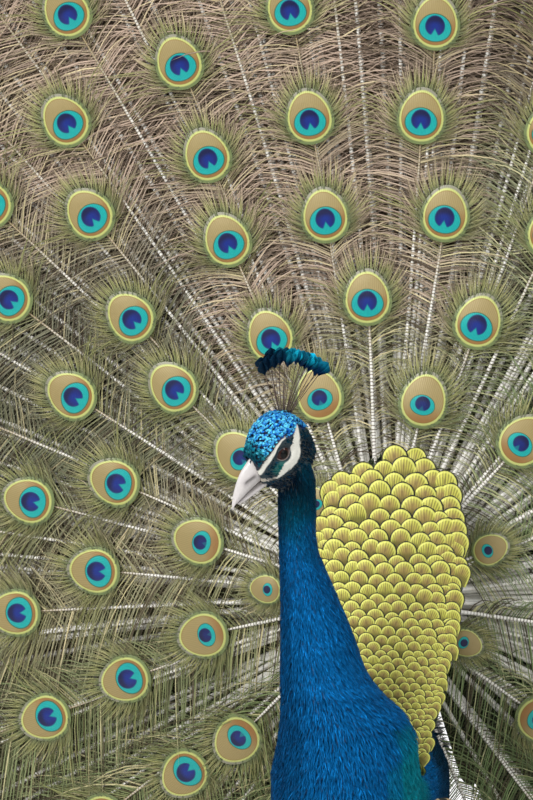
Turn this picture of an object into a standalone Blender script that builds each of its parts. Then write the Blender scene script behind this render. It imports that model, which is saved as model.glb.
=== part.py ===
"""Peacock standing in display, its train spread in a fan: one solid for each part of the body.

Metres, +Z up. The bird faces -Y, its right side is at -X, and it stands on the floor at Z = 0.
"""
import math

import bmesh
import bpy
from mathutils import Vector

# Driving dimensions
GAP = 0.0004            # clearance between touching pieces
BODY_BACK = -0.1164      # moves the bird along Y, so that the origin is under the middle of its box

# Head: where it is and how it is held
HEAD_AT = Vector((-0.0728, -0.0918, 0.8347))    # midway between the eyes
HEAD_TURN = math.radians(51.5)      # to the bird's right
HEAD_DIP = math.radians(31.0)       # bill down
HEAD_TILT = math.radians(10.0)      # crown towards its left
EYE_RADIUS = 0.0094
EYE_OUT = 0.0106                    # eye's centre from the head's middle plane
CREST_SHAFTS = 7
CREST_LENGTH = 0.057

# Body: where the lengths of neck and trunk are parted, in stations along the spine
NECK_PART = 4.1
TRUNK_PART = 6.3
TRUNK_END = 13.0
NECK_HALF = 0.018       # half width under the head
NECK_WIDENS = 0.735     # height from which it widens downward
NECK_TAPER = 0.20       # half width gained for each length downward
NECK_EDGE = -0.0735     # its right side
SHOULDER_TOP = 0.610
SHOULDER_DROP = 0.050
SHOULDER_SWELL = 0.012

# Train: feathers spread round a root at the rump, in a shallow dish
FAN_ROOT = Vector((0.0, 0.215, 0.650))
FAN_REACH = 1.13
FAN_SPREAD = math.radians(164.0)
FAN_START = 0.050
FAN_LEAN = 0.30
FAN_CURL = 0.28
FAN_THICK = 0.0016
FAN_SECTORS = 10
FAN_TIPS = 3            # scallops on a sector's rim

TAIL_REACH = 0.43
TAIL_SPREAD = math.radians(76.0)
TAIL_BEHIND = 0.016
TAIL_TIPS = 9

# Legs
STANCE = 0.0655         # foot's middle from the body's middle plane
HOCK = Vector((STANCE, 0.150, 0.172))
ANKLE = Vector((STANCE, 0.112, 0.0165))
MIDDLE_TOE = 0.072
SIDE_TOE = 0.054
HIND_TOE = 0.027
CLAW = 0.0145
SPUR = 0.023


def clear_scene():
    for item in list(bpy.data.objects):
        bpy.data.objects.remove(item, do_unlink=True)


def new_collection(name):
    collection = bpy.data.collections.new(name)
    bpy.context.scene.collection.children.link(collection)
    return collection


def make_material(name, colour, roughness, metallic=0.0):
    material = bpy.data.materials.new(name)
    material.use_nodes = True
    shader = material.node_tree.nodes["Principled BSDF"]
    shader.inputs["Base Color"].default_value = (*colour, 1.0)
    shader.inputs["Roughness"].default_value = roughness
    shader.inputs["Metallic"].default_value = metallic
    return material


# Head's own axes: forward along the bill, up through the crown, and to the bird's left
def head_axes():
    ahead = Vector((-math.sin(HEAD_TURN), -math.cos(HEAD_TURN), 0.0))
    upright = Vector((0.0, 0.0, 1.0))
    forward = ahead * math.cos(HEAD_DIP) - upright * math.sin(HEAD_DIP)
    left = upright.cross(ahead)
    up = forward.cross(left)
    tilted_up = up * math.cos(HEAD_TILT) + left * math.sin(HEAD_TILT)
    tilted_left = left * math.cos(HEAD_TILT) - up * math.sin(HEAD_TILT)
    return forward, tilted_up, tilted_left


FORWARD, UP, LEFT = head_axes()


def on_head(forward, up, left=0.0):
    """A point given in millimetres from the middle of the head."""
    return HEAD_AT + (FORWARD * forward + UP * up + LEFT * left) / 1000.0


# Smooth curve through a row of stations, each a tuple of numbers
def along(stations, place):
    last = len(stations) - 1
    index = min(int(place), last - 1)
    step = place - index
    row = [stations[min(max(index + shift, 0), last)] for shift in (-1, 0, 1, 2)]
    values = []
    for before, start, end, after in zip(*row):
        bend = 2 * before - 5 * start + 4 * end - after
        twist = 3 * start - before - 3 * end + after
        values.append(start + 0.5 * step * (end - before + step * (bend + step * twist)))
    return values


def steps(start, end, count):
    return [start + (end - start) * index / (count - 1) for index in range(count)]


def oval(centre, side, up, half_side, half_up, half_down, corners, fullness=1.0):
    """A ring with its own height above and below the centre; fullness under 1 squares it."""
    ring = []
    for index in range(corners):
        angle = 2 * math.pi * (index + 0.5) / corners
        across, over = math.cos(angle), math.sin(angle)
        width = math.copysign(abs(across) ** fullness, across) * half_side
        height = math.copysign(abs(over) ** fullness, over) * (half_up if over > 0 else half_down)
        ring.append(centre + side * width + up * height)
    return ring


def closed_mesh(name, build):
    """Triangles facing out, so that a piece and the room cut for it have the same facets."""
    bmesh.ops.recalc_face_normals(build, faces=build.faces)
    bmesh.ops.triangulate(build, faces=build.faces)
    mesh = bpy.data.meshes.new(name)
    build.to_mesh(mesh)
    build.free()
    return mesh


def loft(name, rings):
    """A closed mesh through rings of equal count, with a flat face at each end."""
    build = bmesh.new()
    rows = [[build.verts.new(point) for point in ring] for ring in rings]
    count = len(rows[0])
    for row, following in zip(rows, rows[1:]):
        for index in range(count):
            after = (index + 1) % count
            build.faces.new((row[index], row[after], following[after], following[index]))
    build.faces.new(list(reversed(rows[0])))
    build.faces.new(rows[-1])
    return closed_mesh(name, build)


def path_loft(name, stations, count, corners, across=Vector((1, 0, 0)), start=0.0, end=None, level=False):
    """Oval sections square to a smooth path: x, y, z, half width, half height over and under.
    Level sections don't lean with a path that runs sideways."""
    end = len(stations) - 1 if end is None else end
    rings = []
    for place in steps(start, end, count):
        x, y, z, wide, over, under = along(stations, place)
        back = Vector(along(stations, max(place - 0.05, 0.0))[:3])
        front = Vector(along(stations, min(place + 0.05, len(stations) - 1.0))[:3])
        heading = (front - back).normalized()
        if level:
            heading = (heading - across * heading.dot(across)).normalized()
        side = (across - heading * across.dot(heading)).normalized()
        rings.append(oval(Vector((x, y, z)), side, side.cross(heading), wide, over, under, corners))
    return loft(name, rings)


def mirrored(stations, side):
    return [(side * station[0], *station[1:]) for station in stations]


class Bird:
    """The collections, and the empty that carries every piece."""

    def __init__(self):
        self.parts = new_collection("peacock")
        self.cutters = new_collection("peacock_cutters")
        self.carrier = bpy.data.objects.new("peacock_carrier", None)
        self.carrier.location = (0.0, BODY_BACK, 0.0)
        self.parts.objects.link(self.carrier)

    def add(self, name, mesh, material):
        piece = bpy.data.objects.new(name, mesh)
        mesh.materials.clear()
        mesh.materials.append(material)
        mesh.shade_smooth()
        mesh.set_sharp_from_angle(angle=math.radians(50))
        self.parts.objects.link(piece)
        piece.parent = self.carrier
        return piece

    def guide(self, name, mesh):
        cutter = bpy.data.objects.new(name, mesh)
        cutter.hide_render = True
        cutter.display_type = "WIRE"
        self.cutters.objects.link(cutter)
        cutter.parent = self.carrier
        return cutter

    def swollen(self, piece, gap=GAP):
        """A hidden copy of a piece, larger by the gap all round."""
        build = bmesh.new()
        build.from_mesh(piece.data)
        build.normal_update()
        moves = [(vertex, vertex.normal.copy()) for vertex in build.verts]
        for vertex, normal in moves:
            vertex.co += normal * gap
        mesh = bpy.data.meshes.new(piece.name + "_room")
        build.to_mesh(mesh)
        build.free()
        return self.guide(piece.name + "_room", mesh)

    def combine(self, piece, cutter, operation):
        change = piece.modifiers.new(operation.lower(), "BOOLEAN")
        change.operation = operation
        change.solver = "EXACT"
        change.object = cutter

    def make_room(self, piece, *neighbours):
        for neighbour in neighbours:
            self.combine(piece, self.swollen(neighbour), "DIFFERENCE")


# Head and bill: half width, top and bottom, in millimetres, at each distance forward
SKULL = (
    (-39.0, 3.5, -7.0, -15.0),
    (-37.0, 10.0, 3.0, -26.0),
    (-32.5, 15.2, 15.0, -33.0),
    (-25.5, 18.4, 25.5, -36.0),
    (-16.0, 20.2, 30.6, -36.0),
    (-6.0, 20.4, 31.2, -37.0),
    (4.0, 19.6, 29.2, -40.0),
    (12.0, 17.6, 25.2, -38.5),
    (19.5, 15.2, 18.0, -31.5),
    (25.0, 13.6, 9.0, -24.5),
    (28.0, 9.2, 1.5, -22.0),
)
BILL_UPPER = (
    (17.0, 5.5, 4.0, -15.0),
    (22.0, 7.0, 6.6, -18.4),
    (30.0, 7.3, 3.6, -19.2),
    (38.0, 6.0, 0.0, -20.4),
    (45.0, 5.0, -5.2, -21.6),
    (51.0, 4.0, -11.0, -22.8),
    (56.0, 2.9, -17.0, -23.8),
    (59.5, 1.7, -22.0, -25.2),
    (61.5, 0.6, -26.2, -27.6),
)
BILL_LOWER = (
    (12.0, 6.2, -21.0, -24.4),
    (20.0, 7.0, -19.2, -25.4),
    (30.0, 6.6, -19.9, -26.0),
    (40.0, 5.0, -21.3, -26.4),
    (48.0, 3.7, -22.8, -26.6),
    (54.5, 1.8, -24.1, -26.0),
)


def head_loft(name, stations, count, corners, fullness=1.0):
    rings = []
    for place in steps(0, len(stations) - 1, count):
        forward, wide, top, bottom = along(stations, place)
        centre = on_head(forward, 0.5 * (top + bottom))
        half = 0.0005 * (top - bottom)
        rings.append(oval(centre, LEFT, UP, wide / 1000.0, half, half, corners, fullness))
    return loft(name, rings)


def ball(name, centre, radii, axes, corners=12, rows=8):
    """An ellipsoid on its own three axes."""
    build = bmesh.new()
    bmesh.ops.create_uvsphere(build, u_segments=corners, v_segments=rows, radius=1.0)
    for vertex in build.verts:
        point = vertex.co.copy()
        vertex.co = centre + sum((axis * (radius * value)
                                  for axis, radius, value in zip(axes, radii, point)), Vector())
    return closed_mesh(name, build)


def make_head(bird, feather, horn, glass):
    axes = (FORWARD, LEFT, UP)
    head = bird.add("head", head_loft("head", SKULL, 11, 14, 0.86), feather)
    upper = bird.add("bill_upper", head_loft("bill_upper", BILL_UPPER, 9, 10), horn)
    lower = bird.add("bill_lower", head_loft("bill_lower", BILL_LOWER, 6, 8), horn)
    bird.make_room(lower, upper)
    bird.make_room(head, upper, lower)
    for side, label in ((1, "left"), (-1, "right")):
        centre = on_head(0.0, 0.0, side * EYE_OUT * 1000.0)
        radii = (EYE_RADIUS, EYE_RADIUS, EYE_RADIUS)
        eye = bird.add("eye_" + label, ball("eye_" + label, centre, radii, axes, 12, 7), glass)
        bird.make_room(head, eye)
        # A shallow dish round each eye, where the lids lie
        rim = on_head(-0.5, -0.5, side * 20.4)
        dish = ball("orbit_" + label, rim, (0.0112, 0.0043, 0.0092), axes, 9, 5)
        bird.combine(head, bird.guide("orbit_" + label, dish), "DIFFERENCE")
    return head


def rod(name, start, end, radius, corners=5):
    heading = (end - start).normalized()
    side = heading.orthogonal().normalized()
    rings = [oval(point, side, heading.cross(side), radius, radius, radius, corners)
             for point in (start, end)]
    return loft(name, rings)


def crest_tip(share):
    """Tips stand in an arc over the crown, from front to back."""
    angle = math.radians(78 + 90 * share)
    reach = 1000 * CREST_LENGTH * (1.08 - 0.16 * share)
    return -31.0 + reach * math.cos(angle), 21.0 + reach * math.sin(angle)


def make_crest(bird, head, feather):
    rings = []
    for share in steps(0.0, 1.0, 10):
        forward, up = crest_tip(share)
        outward = Vector((forward + 31.0, up - 21.0)).normalized()
        radial = FORWARD * outward.x + UP * outward.y
        thick = 0.0062 * (1.0 - 0.6 * abs(2 * share - 1.0) ** 4)
        rings.append(oval(on_head(forward, up), LEFT, radial, 0.0050, thick, thick, 6))
    crest = bird.add("crest", loft("crest", rings), feather)
    root = ball("crest_root", on_head(-30.5, 22.5), (0.0045, 0.0035, 0.0045), (FORWARD, LEFT, UP), 8, 5)
    bird.combine(crest, bird.guide("crest_root", root), "UNION")
    for index in range(CREST_SHAFTS):
        share = (index + 0.5) / CREST_SHAFTS
        name = "crest_shaft_%d" % index
        shaft = rod(name, on_head(-30.5, 21.5), on_head(*crest_tip(share)), 0.0008)
        bird.combine(crest, bird.guide(name, shaft), "UNION")
    bird.make_room(crest, head)
    return crest


def neck_station(y, z, back_depth, breast_depth):
    """A section of the neck: it widens evenly downward, and its right side stays in line."""
    swell = min(max((SHOULDER_TOP - z) / SHOULDER_DROP, 0.0), 1.0)
    half = NECK_HALF + NECK_TAPER * max(NECK_WIDENS - z, 0.0) + SHOULDER_SWELL * swell * swell * (3 - 2 * swell)
    return NECK_EDGE + half, y, z, half, back_depth, breast_depth


# Neck and trunk: x, y, z, half width, half depth towards the back and towards the breast
SPINE = (
    (-0.060, -0.080, 0.831, NECK_HALF, 0.016, 0.015),
    (-0.055, -0.070, 0.805, NECK_HALF, 0.020, 0.019),
    neck_station(-0.061, 0.770, 0.022, 0.021),
    neck_station(-0.054, 0.735, 0.026, 0.026),
    neck_station(-0.048, 0.695, 0.032, 0.032),
    neck_station(-0.045, 0.655, 0.040, 0.043),
    neck_station(-0.045, 0.615, 0.050, 0.059),
    neck_station(-0.046, 0.570, 0.068, 0.079),
    (-0.015, -0.030, 0.520, 0.070, 0.082, 0.101),
    (-0.015, 0.015, 0.478, 0.070, 0.082, 0.108),
    (-0.010, 0.075, 0.460, 0.065, 0.080, 0.102),
    (-0.005, 0.135, 0.460, 0.060, 0.076, 0.088),
    (0.0, 0.190, 0.472, 0.052, 0.066, 0.068),
    (0.0, 0.235, 0.490, 0.036, 0.050, 0.044),
)
# The rump lobe, from which train and tail spread
RUMP = (
    (0.0, 0.1500, 0.4700, 0.0280, 0.0300, 0.0300),
    (0.0, 0.1750, 0.5200, 0.0370, 0.0450, 0.0500),
    (0.0, 0.1980, 0.5700, 0.0460, 0.0400, 0.0520),
    (0.0, 0.2120, 0.6200, 0.0560, 0.0320, 0.0480),
    (0.0, 0.2220, 0.6700, 0.0600, 0.0260, 0.0420),
    (0.0, 0.2300, 0.7080, 0.0480, 0.0200, 0.0340),
    (0.0, 0.2360, 0.7360, 0.0180, 0.0080, 0.0180),
)
# The scaled feathers of the back, raised in front of the train
BACK = (
    (0.0, 0.0300, 0.5100, 0.0440, 0.0100, 0.0300),
    (0.0, 0.0620, 0.5620, 0.0570, 0.0110, 0.0660),
    (0.0, 0.0950, 0.6180, 0.0665, 0.0120, 0.0860),
    (0.0, 0.1230, 0.6750, 0.0735, 0.0110, 0.0860),
    (0.0, 0.1450, 0.7250, 0.0720, 0.0090, 0.0680),
    (0.0, 0.1610, 0.7640, 0.0535, 0.0070, 0.0420),
    (0.0, 0.1690, 0.7860, 0.0300, 0.0050, 0.0220),
    (0.0, 0.1720, 0.7960, 0.0080, 0.0030, 0.0070),
)
UNDERTAIL = (
    (0.0, 0.1900, 0.4480, 0.0380, 0.0340, 0.0380),
    (0.0, 0.2350, 0.4540, 0.0400, 0.0390, 0.0440),
    (0.0, 0.2800, 0.4640, 0.0340, 0.0360, 0.0390),
    (0.0, 0.3250, 0.4860, 0.0230, 0.0240, 0.0260),
    (0.0, 0.3550, 0.5050, 0.0070, 0.0070, 0.0070),
)


def make_body(bird, head, blue, gold, brown):
    upper = bird.add("neck_upper", path_loft("neck_upper", SPINE, 9, 14, start=0.0, end=NECK_PART, level=True), blue)
    bird.make_room(upper, head)
    small = 0.010
    lower_mesh = path_loft("neck_lower", SPINE, 9, 16, start=NECK_PART + small, end=TRUNK_PART, level=True)
    lower = bird.add("neck_lower", lower_mesh, blue)
    trunk_mesh = path_loft("trunk", SPINE, 15, 20, start=TRUNK_PART + small, end=TRUNK_END, level=True)
    trunk = bird.add("trunk", trunk_mesh, blue)
    rump = bird.add("rump", path_loft("rump", RUMP, 9, 16), gold)
    bird.make_room(rump, trunk)
    back = bird.add("back", path_loft("back", BACK, 9, 12), gold)
    bird.make_room(back, trunk, lower, rump)
    vent = bird.add("undertail", path_loft("undertail", UNDERTAIL, 7, 12), brown)
    bird.make_room(vent, trunk, rump)
    return trunk, rump, back, vent


# Wing and its flight feathers, held low beside the trunk (left side)
WING = (
    (0.0480, -0.0450, 0.4800, 0.0080, 0.0120, 0.0120),
    (0.0640, -0.0150, 0.4550, 0.0130, 0.0360, 0.0360),
    (0.0740, 0.0350, 0.4250, 0.0150, 0.0500, 0.0500),
    (0.0750, 0.0950, 0.4050, 0.0140, 0.0520, 0.0520),
    (0.0730, 0.1500, 0.3850, 0.0120, 0.0440, 0.0440),
    (0.0700, 0.2000, 0.3650, 0.0090, 0.0300, 0.0300),
    (0.0680, 0.2400, 0.3450, 0.0060, 0.0140, 0.0140),
    (0.0670, 0.2550, 0.3380, 0.0025, 0.0050, 0.0050),
)
FLIGHT = (
    (0.0810, 0.0950, 0.3620, 0.0055, 0.0200, 0.0200),
    (0.0840, 0.1500, 0.3380, 0.0055, 0.0300, 0.0300),
    (0.0865, 0.2000, 0.3120, 0.0045, 0.0300, 0.0300),
    (0.0890, 0.2450, 0.2850, 0.0035, 0.0220, 0.0220),
    (0.0910, 0.2750, 0.2650, 0.0022, 0.0080, 0.0080),
)


def make_wing(bird, side, label, trunk, rump, barred, rufous):
    wing = bird.add("wing_" + label, path_loft("wing_" + label, mirrored(WING, side), 8, 12), barred)
    bird.make_room(wing, trunk, rump)
    flight_mesh = path_loft("flight_feathers_" + label, mirrored(FLIGHT, side), 6, 10)
    flight = bird.add("flight_feathers_" + label, flight_mesh, rufous)
    bird.make_room(flight, wing, trunk)
    return wing, flight


# Train and tail sheets
def train_depth(radius):
    return FAN_LEAN * radius - FAN_CURL * radius * radius


def tail_depth(radius):
    return TAIL_BEHIND + 0.31 * radius - 0.10 * radius * radius


def train_reach(angle):
    """Feathers shorten towards the floor on each side."""
    share = abs(angle) / FAN_SPREAD
    drop = max(0.0, share - 0.62) / 0.38
    return FAN_REACH * (1.0 - 0.08 * share ** 2 - 0.73 * drop ** 1.5)


def tail_reach(angle):
    return TAIL_REACH * (1.0 - 0.10 * (angle / TAIL_SPREAD) ** 2)


def fan_point(angle, radius, depth):
    return FAN_ROOT + Vector((radius * math.sin(angle), depth(radius), radius * math.cos(angle)))


def fan_sheet(name, angles, reach, depth, rows, tips, scallop):
    """A thin dished sheet of feathers, its rim cut into even scallops."""
    columns = []
    last = len(angles) - 1
    for index, angle in enumerate(angles):
        wave = abs(math.sin(math.pi * tips * index / last))
        full = reach(angle) - scallop * (1.0 - wave)
        # The two long edges stand back by half the gap, all the way along
        inset = GAP / 2 * ((index == 0) - (index == last))
        columns.append([fan_point(angle + inset / radius, radius, depth)
                        for radius in steps(FAN_START, full, rows)])
    rings = []
    half = Vector((0.0, FAN_THICK / 2, 0.0))
    for column in columns:
        rings.append([point - half for point in column] + [point + half for point in reversed(column)])
    build = bmesh.new()
    table = [[build.verts.new(point) for point in ring] for ring in rings]
    count = len(table[0])
    for left, right in zip(table, table[1:]):
        for index in range(count):
            after = (index + 1) % count
            build.faces.new((left[index], left[after], right[after], right[index]))
    for ends in (table[0], table[-1]):
        for row in range(rows - 1):
            build.faces.new((ends[row], ends[row + 1], ends[count - 2 - row], ends[count - 1 - row]))
    return closed_mesh(name, build)


def make_train(bird, neighbours, green):
    width = 2 * FAN_SPREAD / FAN_SECTORS
    for index in range(FAN_SECTORS):
        start = -FAN_SPREAD + index * width
        angles = steps(start, start + width, 3 * FAN_TIPS + 1)
        name = "train_%02d" % (index + 1)
        mesh = fan_sheet(name, angles, train_reach, train_depth, 5, FAN_TIPS, 0.020)
        bird.make_room(bird.add(name, mesh, green), *neighbours)


def make_tail(bird, rump, brown):
    angles = steps(-TAIL_SPREAD, TAIL_SPREAD, 3 * TAIL_TIPS + 1)
    mesh = fan_sheet("tail", angles, tail_reach, tail_depth, 3, TAIL_TIPS, 0.012)
    bird.make_room(bird.add("tail", mesh, brown), rump)


# Legs (left side): x, y, z, half width, half depth behind and in front
THIGH = (
    (0.0400, 0.0800, 0.4400, 0.0240, 0.0440, 0.0440),
    (0.0500, 0.0930, 0.3850, 0.0320, 0.0500, 0.0500),
    (0.0590, 0.1080, 0.3250, 0.0310, 0.0430, 0.0430),
    (0.0630, 0.1240, 0.2650, 0.0220, 0.0290, 0.0290),
    (0.0650, 0.1380, 0.2180, 0.0140, 0.0180, 0.0180),
    (0.0655, 0.1480, 0.1820, 0.0100, 0.0120, 0.0120),
)


def tarsus_stations():
    """Thick at the hock and ankle, slim between."""
    rows = []
    for share in steps(0.0, 1.0, 7):
        point = HOCK.lerp(ANKLE, share) + Vector((0.0, 0.004 * math.sin(math.pi * share), 0.0))
        swell = abs(2 * share - 1.0) ** 3
        wide = 0.0056 + 0.0034 * swell
        deep = 0.0074 + 0.0036 * swell
        rows.append((point.x, point.y, point.z, wide, deep, deep))
    return rows


def flattened(mesh, level=0.0):
    """Presses everything below a level up to it, so that the piece has a flat sole."""
    for vertex in mesh.vertices:
        vertex.co.z = max(vertex.co.z, level)
    mesh.update()
    return mesh


def toe_path(turn, length, share):
    heading = Vector((math.sin(turn), -math.cos(turn), 0.0))
    point = Vector((ANKLE.x, ANKLE.y, 0.0)) + heading * (length * share)
    point.z = 0.0042 + 0.0040 * (1.0 - share) ** 2
    return point, heading


def toe_mesh(name, turn, length):
    rings = []
    for index, share in enumerate(steps(0.0, 1.0, 5)):
        point, heading = toe_path(turn, length, share)
        side = heading.cross(Vector((0.0, 0.0, 1.0)))
        radius = 0.0066 - 0.0018 * share + (0.0005 if index % 2 else 0.0)
        rings.append(oval(point, side, Vector((0.0, 0.0, 1.0)), radius, radius, radius, 8))
    mesh = loft(name, rings)
    return flattened(mesh)


def claw_mesh(name, turn, length):
    start, heading = toe_path(turn, length, 1.0)
    side = heading.cross(Vector((0.0, 0.0, 1.0)))
    rings = []
    for share in steps(0.0, 1.0, 4):
        radius = 0.0036 * (1.0 - 0.86 * share)
        centre = start + heading * (GAP + CLAW * share)
        centre.z = 0.0044 + 0.0016 * math.sin(math.pi * share) - 0.0030 * share ** 2
        rings.append(oval(centre, side, Vector((0.0, 0.0, 1.0)), radius, radius, radius, 6))
    return loft(name, rings)


TOES = (("middle", 4.0, MIDDLE_TOE), ("inner", -34.0, SIDE_TOE), ("outer", 38.0, SIDE_TOE), ("hind", 168.0, HIND_TOE))


def mirror_mesh(mesh, side):
    """Left-hand mesh as it is, or turned over to the right-hand side."""
    if side > 0:
        return mesh
    build = bmesh.new()
    build.from_mesh(mesh)
    for vertex in build.verts:
        vertex.co.x = -vertex.co.x
    bmesh.ops.reverse_faces(build, faces=build.faces)
    build.to_mesh(mesh)
    build.free()
    return mesh


def make_foot(bird, side, label, skin, claw):
    root = ball("foot_" + label, Vector((ANKLE.x, ANKLE.y, 0.0105)), (0.0100, 0.0115, 0.0110),
                (Vector((1, 0, 0)), Vector((0, 1, 0)), Vector((0, 0, 1))), 8, 6)
    foot = bird.add("foot_" + label, mirror_mesh(flattened(root, 0.0012), side), skin)
    for toe, turn, length in TOES:
        name = "toe_%s_%s" % (toe, label)
        mesh = mirror_mesh(toe_mesh(name, math.radians(turn), length), side)
        bird.combine(foot, bird.guide(name, mesh), "UNION")
        name = "claw_%s_%s" % (toe, label)
        bird.add(name, mirror_mesh(claw_mesh(name, math.radians(turn), length), side), claw)
    return foot


def make_leg(bird, side, label, trunk, wing, flight, down, skin, claw):
    thigh = bird.add("thigh_" + label, path_loft("thigh_" + label, mirrored(THIGH, side), 7, 12), down)
    bird.make_room(thigh, trunk, wing, flight)
    foot = make_foot(bird, side, label, skin, claw)
    tarsus_mesh = path_loft("tarsus_" + label, mirrored(tarsus_stations(), side), 7, 8)
    tarsus = bird.add("tarsus_" + label, tarsus_mesh, skin)
    bird.make_room(tarsus, thigh, foot)
    spur_start = HOCK.lerp(ANKLE, 0.60) + Vector((-0.002, 0.004, 0.0))
    rings = []
    for share in steps(0.0, 1.0, 4):
        radius = 0.0042 * (1.0 - 0.85 * share)
        centre = spur_start + Vector((-0.35, 1.0, 0.10 + 0.35 * share)).normalized() * (SPUR * share)
        rings.append(oval(centre, Vector((1, 0, 0)), Vector((0, 0, 1)), radius, radius, radius, 6))
    name = "spur_" + label
    spur = bird.add(name, mirror_mesh(loft(name, rings), side), claw)
    bird.make_room(spur, tarsus)


def main():
    clear_scene()
    bird = Bird()
    blue = make_material("blue_feather", (0.010, 0.060, 0.330), 0.45)
    gold = make_material("gold_feather", (0.360, 0.340, 0.040), 0.50)
    green = make_material("train_feather", (0.160, 0.170, 0.070), 0.60)
    brown = make_material("brown_feather", (0.130, 0.090, 0.060), 0.70)
    barred = make_material("barred_feather", (0.300, 0.250, 0.180), 0.70)
    rufous = make_material("rufous_feather", (0.360, 0.130, 0.040), 0.65)
    down = make_material("down_feather", (0.200, 0.150, 0.090), 0.80)
    horn = make_material("bill_horn", (0.560, 0.500, 0.460), 0.45)
    glass = make_material("eye_gloss", (0.030, 0.014, 0.008), 0.06)
    skin = make_material("leg_skin", (0.230, 0.200, 0.170), 0.60)
    claw = make_material("claw_horn", (0.060, 0.050, 0.045), 0.40)

    head = make_head(bird, blue, horn, glass)
    make_crest(bird, head, blue)
    trunk, rump, back, vent = make_body(bird, head, blue, gold, down)
    for side, label in ((1, "left"), (-1, "right")):
        wing, flight = make_wing(bird, side, label, trunk, rump, barred, rufous)
        bird.make_room(flight, vent)
        make_leg(bird, side, label, trunk, wing, flight, down, skin, claw)
    make_train(bird, (rump, vent), green)
    make_tail(bird, rump, brown)


main()
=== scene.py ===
import math
import bmesh
import bpy
import numpy as np
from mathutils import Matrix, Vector
from mathutils.bvhtree import BVHTree


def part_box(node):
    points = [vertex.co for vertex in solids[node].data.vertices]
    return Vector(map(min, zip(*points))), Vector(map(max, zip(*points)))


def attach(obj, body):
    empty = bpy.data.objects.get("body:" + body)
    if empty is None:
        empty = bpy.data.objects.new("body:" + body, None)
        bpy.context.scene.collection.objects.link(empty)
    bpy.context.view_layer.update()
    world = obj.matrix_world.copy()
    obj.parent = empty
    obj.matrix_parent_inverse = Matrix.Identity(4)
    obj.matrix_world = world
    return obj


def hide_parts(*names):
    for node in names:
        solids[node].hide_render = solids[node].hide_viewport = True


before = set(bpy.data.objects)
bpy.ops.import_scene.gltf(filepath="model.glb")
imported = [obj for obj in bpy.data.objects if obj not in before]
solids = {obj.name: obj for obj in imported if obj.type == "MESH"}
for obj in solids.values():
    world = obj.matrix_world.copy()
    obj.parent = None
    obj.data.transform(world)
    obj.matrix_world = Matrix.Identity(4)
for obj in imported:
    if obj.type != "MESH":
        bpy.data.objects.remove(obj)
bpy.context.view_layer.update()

upright = np.array((0.0, 0.0, 1.0))


def unit(vectors):
    return vectors / np.maximum(np.linalg.norm(vectors, axis=-1, keepdims=True), 1e-9)


def rise(values, low, high):
    share = np.clip((values - low) / (high - low), 0.0, 1.0)
    return share * share * (3.0 - 2.0 * share)


def mixed(first, second, share):
    return first + (second - first) * np.asarray(share)[..., None]


def colour(red, green, blue):
    # screen values 0 to 255 made linear
    return np.array([((value / 255.0 + 0.055) / 1.055) ** 2.4 for value in (red, green, blue)])


def ripple(points, scale, seed):
    # smooth bumps between about -1 and 1, the same each run
    chance = np.random.default_rng(seed)
    total = np.zeros(len(points))
    for turn in range(7):
        heading = unit(chance.normal(size=3)) * chance.uniform(0.6, 1.6) * 6.28 / scale
        total += np.sin(points @ heading + chance.uniform(0, 6.28))
    return total / 3.2


def smoothRows(stations, count):
    # Catmull-Rom curve through a table of stations
    rows = np.array(stations, float)
    places = np.linspace(0, len(rows) - 1, count)
    index = np.minimum(places.astype(int), len(rows) - 2)
    step = (places - index)[:, None]
    before, start, end, after = (rows[np.clip(index + shift, 0, len(rows) - 1)] for shift in (-1, 0, 1, 2))
    bend = 2 * before - 5 * start + 4 * end - after
    twist = 3 * start - before - 3 * end + after
    return start + 0.5 * step * (end - before + step * (bend + step * twist))


def middle(node):
    low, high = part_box(node)
    return np.array((low + high) / 2)


hold = {"turn": 51.5, "dip": 31.0, "tilt": 10.0}    # how the head is held, in degrees


def headAxes():
    turn, dip, tilt = (math.radians(hold[key]) for key in ("turn", "dip", "tilt"))
    level = np.array((-math.sin(turn), -math.cos(turn), 0.0))
    forward = level * math.cos(dip) - upright * math.sin(dip)
    left = np.cross(upright, level)
    up = np.cross(forward, left)
    return forward, up * math.cos(tilt) + left * math.sin(tilt), left * math.cos(tilt) - up * math.sin(tilt)


headAt = (middle("eye_left") + middle("eye_right")) / 2
headForward, headUp, headLeft = headAxes()
headFrame = np.array((headForward, headUp, headLeft))
eyeRadius = float(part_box("eye_left")[1].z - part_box("eye_left")[0].z) / 2
eyeOut = float(np.linalg.norm(middle("eye_left") - middle("eye_right"))) / 2


def onHead(places):
    # millimetres forward, up and left of the point between the eyes
    return headAt + np.asarray(places, float) @ headFrame / 1000.0


def headPlace(points):
    return (points - headAt) @ headFrame.T * 1000.0


# The train is a shallow dish of feathers that spread from a root at the rump
train = {
    "root": np.array((0.0, 0.0986, 0.650)),
    "reach": 1.13,
    "spread": 164.0,
    "lean": 0.30,
    "curl": 0.28,
    "layers": 0.030,        # how far the shortest feathers stand in front of the longest
    "swing": -0.027,        # short feathers spread from a point this far to the side
}


def dishDepth(across, height):
    distance = np.hypot(across - train["root"][0], height - train["root"][2])
    return train["root"][1] + train["lean"] * distance - train["curl"] * distance ** 2


def fanReach(angle):
    share = np.abs(angle) / train["spread"]
    drop = np.maximum(0.0, share - 0.62) / 0.38
    return train["reach"] * (1 - 0.08 * share ** 2 - 0.73 * drop ** 1.5)


def fanMap(across, height):
    # place on the fan laid out flat by angle and distance, for the bake
    angle = np.degrees(np.arctan2(across, height - train["root"][2]))
    distance = np.hypot(across, height - train["root"][2])
    return np.stack([0.5 + angle / 368.0, 0.02 + distance / 1.22], -1)


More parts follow.
